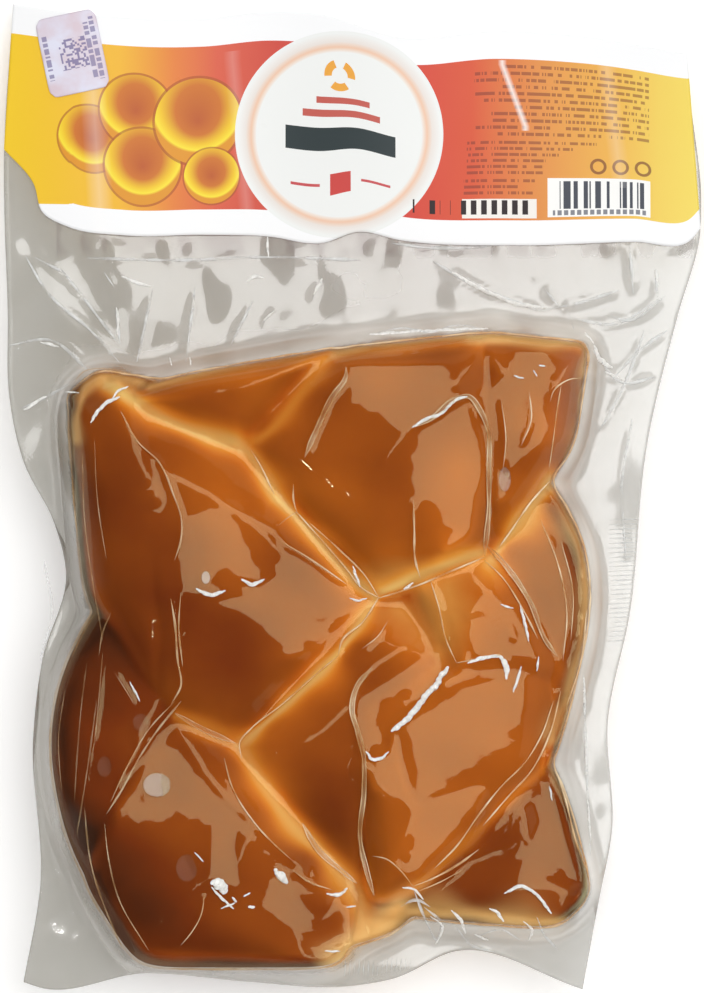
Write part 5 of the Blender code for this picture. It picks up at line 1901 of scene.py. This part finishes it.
def build_floor():
    """A plain pale floor."""
    f = Finish("pale_floor")
    shade = f.mix(f.noise(f.place(), 3.0), (0.95, 0.95, 0.95, 1), (0.97, 0.97, 0.97, 1))
    finish = f.finish(f.solid(Base_Color=shade, Roughness=0.9, Specular_IOR_Level=0.0,
                              Emission_Color=WHITE, Emission_Strength=FLOOR_GLOW))
    side = np.linspace(-FLOOR_HALF, FLOOR_HALF, 3)
    x, y = np.meshgrid(side, side)
    shape = Shape()
    shape.sheet(np.dstack([x, y, np.zeros_like(x)]))
    mesh = shape.mesh("floor")
    mesh.materials.append(finish)
    new_object("floor", mesh)


def new_light(name, shape, width, depth, place, radiance):
    """An area light that faces down, with the same radiance whatever its size."""
    lamp = bpy.data.lights.new(name, "AREA")
    lamp.shape = shape
    lamp.size = width * MM
    lamp.size_y = depth * MM
    area = width * depth * MM ** 2 * (math.pi / 4 if shape == "DISK" else 1.0)
    lamp.energy = radiance * math.pi * area
    light = new_object(name, lamp)
    light.location = [p * MM for p in place]
    light.visible_camera = False
    return light


def build_lights():
    """A large softbox up and to the right, a small lamp and a pale room.

    Softbox, sky and walls are seen in gloss alone, and the key in everything else.
    """
    width = (SOFTBOX_X[1] - SOFTBOX_X[0]) * LIGHT_HEIGHT
    depth = (SOFTBOX_Y[1] - SOFTBOX_Y[0]) * LIGHT_HEIGHT
    middle = (sum(SOFTBOX_X) / 2 * LIGHT_HEIGHT, sum(SOFTBOX_Y) / 2 * LIGHT_HEIGHT)
    softbox = new_light("softbox", "RECTANGLE", width, depth, (*middle, LIGHT_HEIGHT),
                        SOFTBOX_RADIANCE)
    key = new_light("key", "RECTANGLE", width, depth, (*middle, LIGHT_HEIGHT + KEY_OVER),
                    KEY_RADIANCE)
    key.visible_glossy = False
    high = LIGHT_HEIGHT - LAMP_UNDER
    wide = 2 * LAMP_RADIUS * high
    new_light("lamp", "DISK", wide, wide, (LAMP[0] * high, LAMP[1] * high, high), LAMP_RADIANCE)
    mirrored = [softbox, new_light("sky", "DISK", SKY_WIDTH, SKY_WIDTH,
                                   (0.0, 0.0, LIGHT_HEIGHT + SKY_OVER), SKY_RADIANCE)]
    for turn, (radiance, height) in enumerate(WALLS):
        angle = turn * math.pi / 2
        wall = new_light("wall", "RECTANGLE", height, 2 * WALL_DISTANCE,
                         (WALL_DISTANCE * math.cos(angle), WALL_DISTANCE * math.sin(angle),
                          height / 2), radiance)
        wall.rotation_euler = (0.0, math.pi / 2, angle)
        mirrored.append(wall)
    for light in mirrored:
        light.visible_diffuse = False
    world = bpy.data.worlds.new("room")
    world.use_nodes = True
    room = world.node_tree.nodes["Background"]
    room.inputs[0].default_value = ROOM_TINT
    room.inputs[1].default_value = ROOM
    world.cycles_visibility.glossy = False
    bpy.context.scene.world = world


def build_camera():
    """Straight down, far off, with the pack's top at the picture's top."""
    optics = bpy.data.cameras.new("camera")
    optics.sensor_fit = "VERTICAL"
    optics.sensor_height = SENSOR
    optics.lens = SENSOR * (CAMERA_HEIGHT - SEAM_HEIGHT) / VIEW_HEIGHT
    optics.clip_end = 100.0
    camera = new_object("camera", optics)
    camera.location = (0.0, 0.0, CAMERA_HEIGHT * MM)
    bpy.context.scene.camera = camera


def main():
    """Builds everything around the loaded frame."""
    bpy.context.scene.view_settings.view_transform = "Standard"
    build_camera()
    field = FilmField()
    build_braid(field, cheese_finish())
    clear = film_finish()
    build_film(field, clear)
    build_folds(field, fold_finish())
    build_rim_folds(field, rib_finish())
    build_glints(field, glint_finish())
    build_pale_ovals(field, oval_finish())
    build_label(print_finish())
    build_sticker(sticker_finish())
    build_floor()
    build_lights()


main()
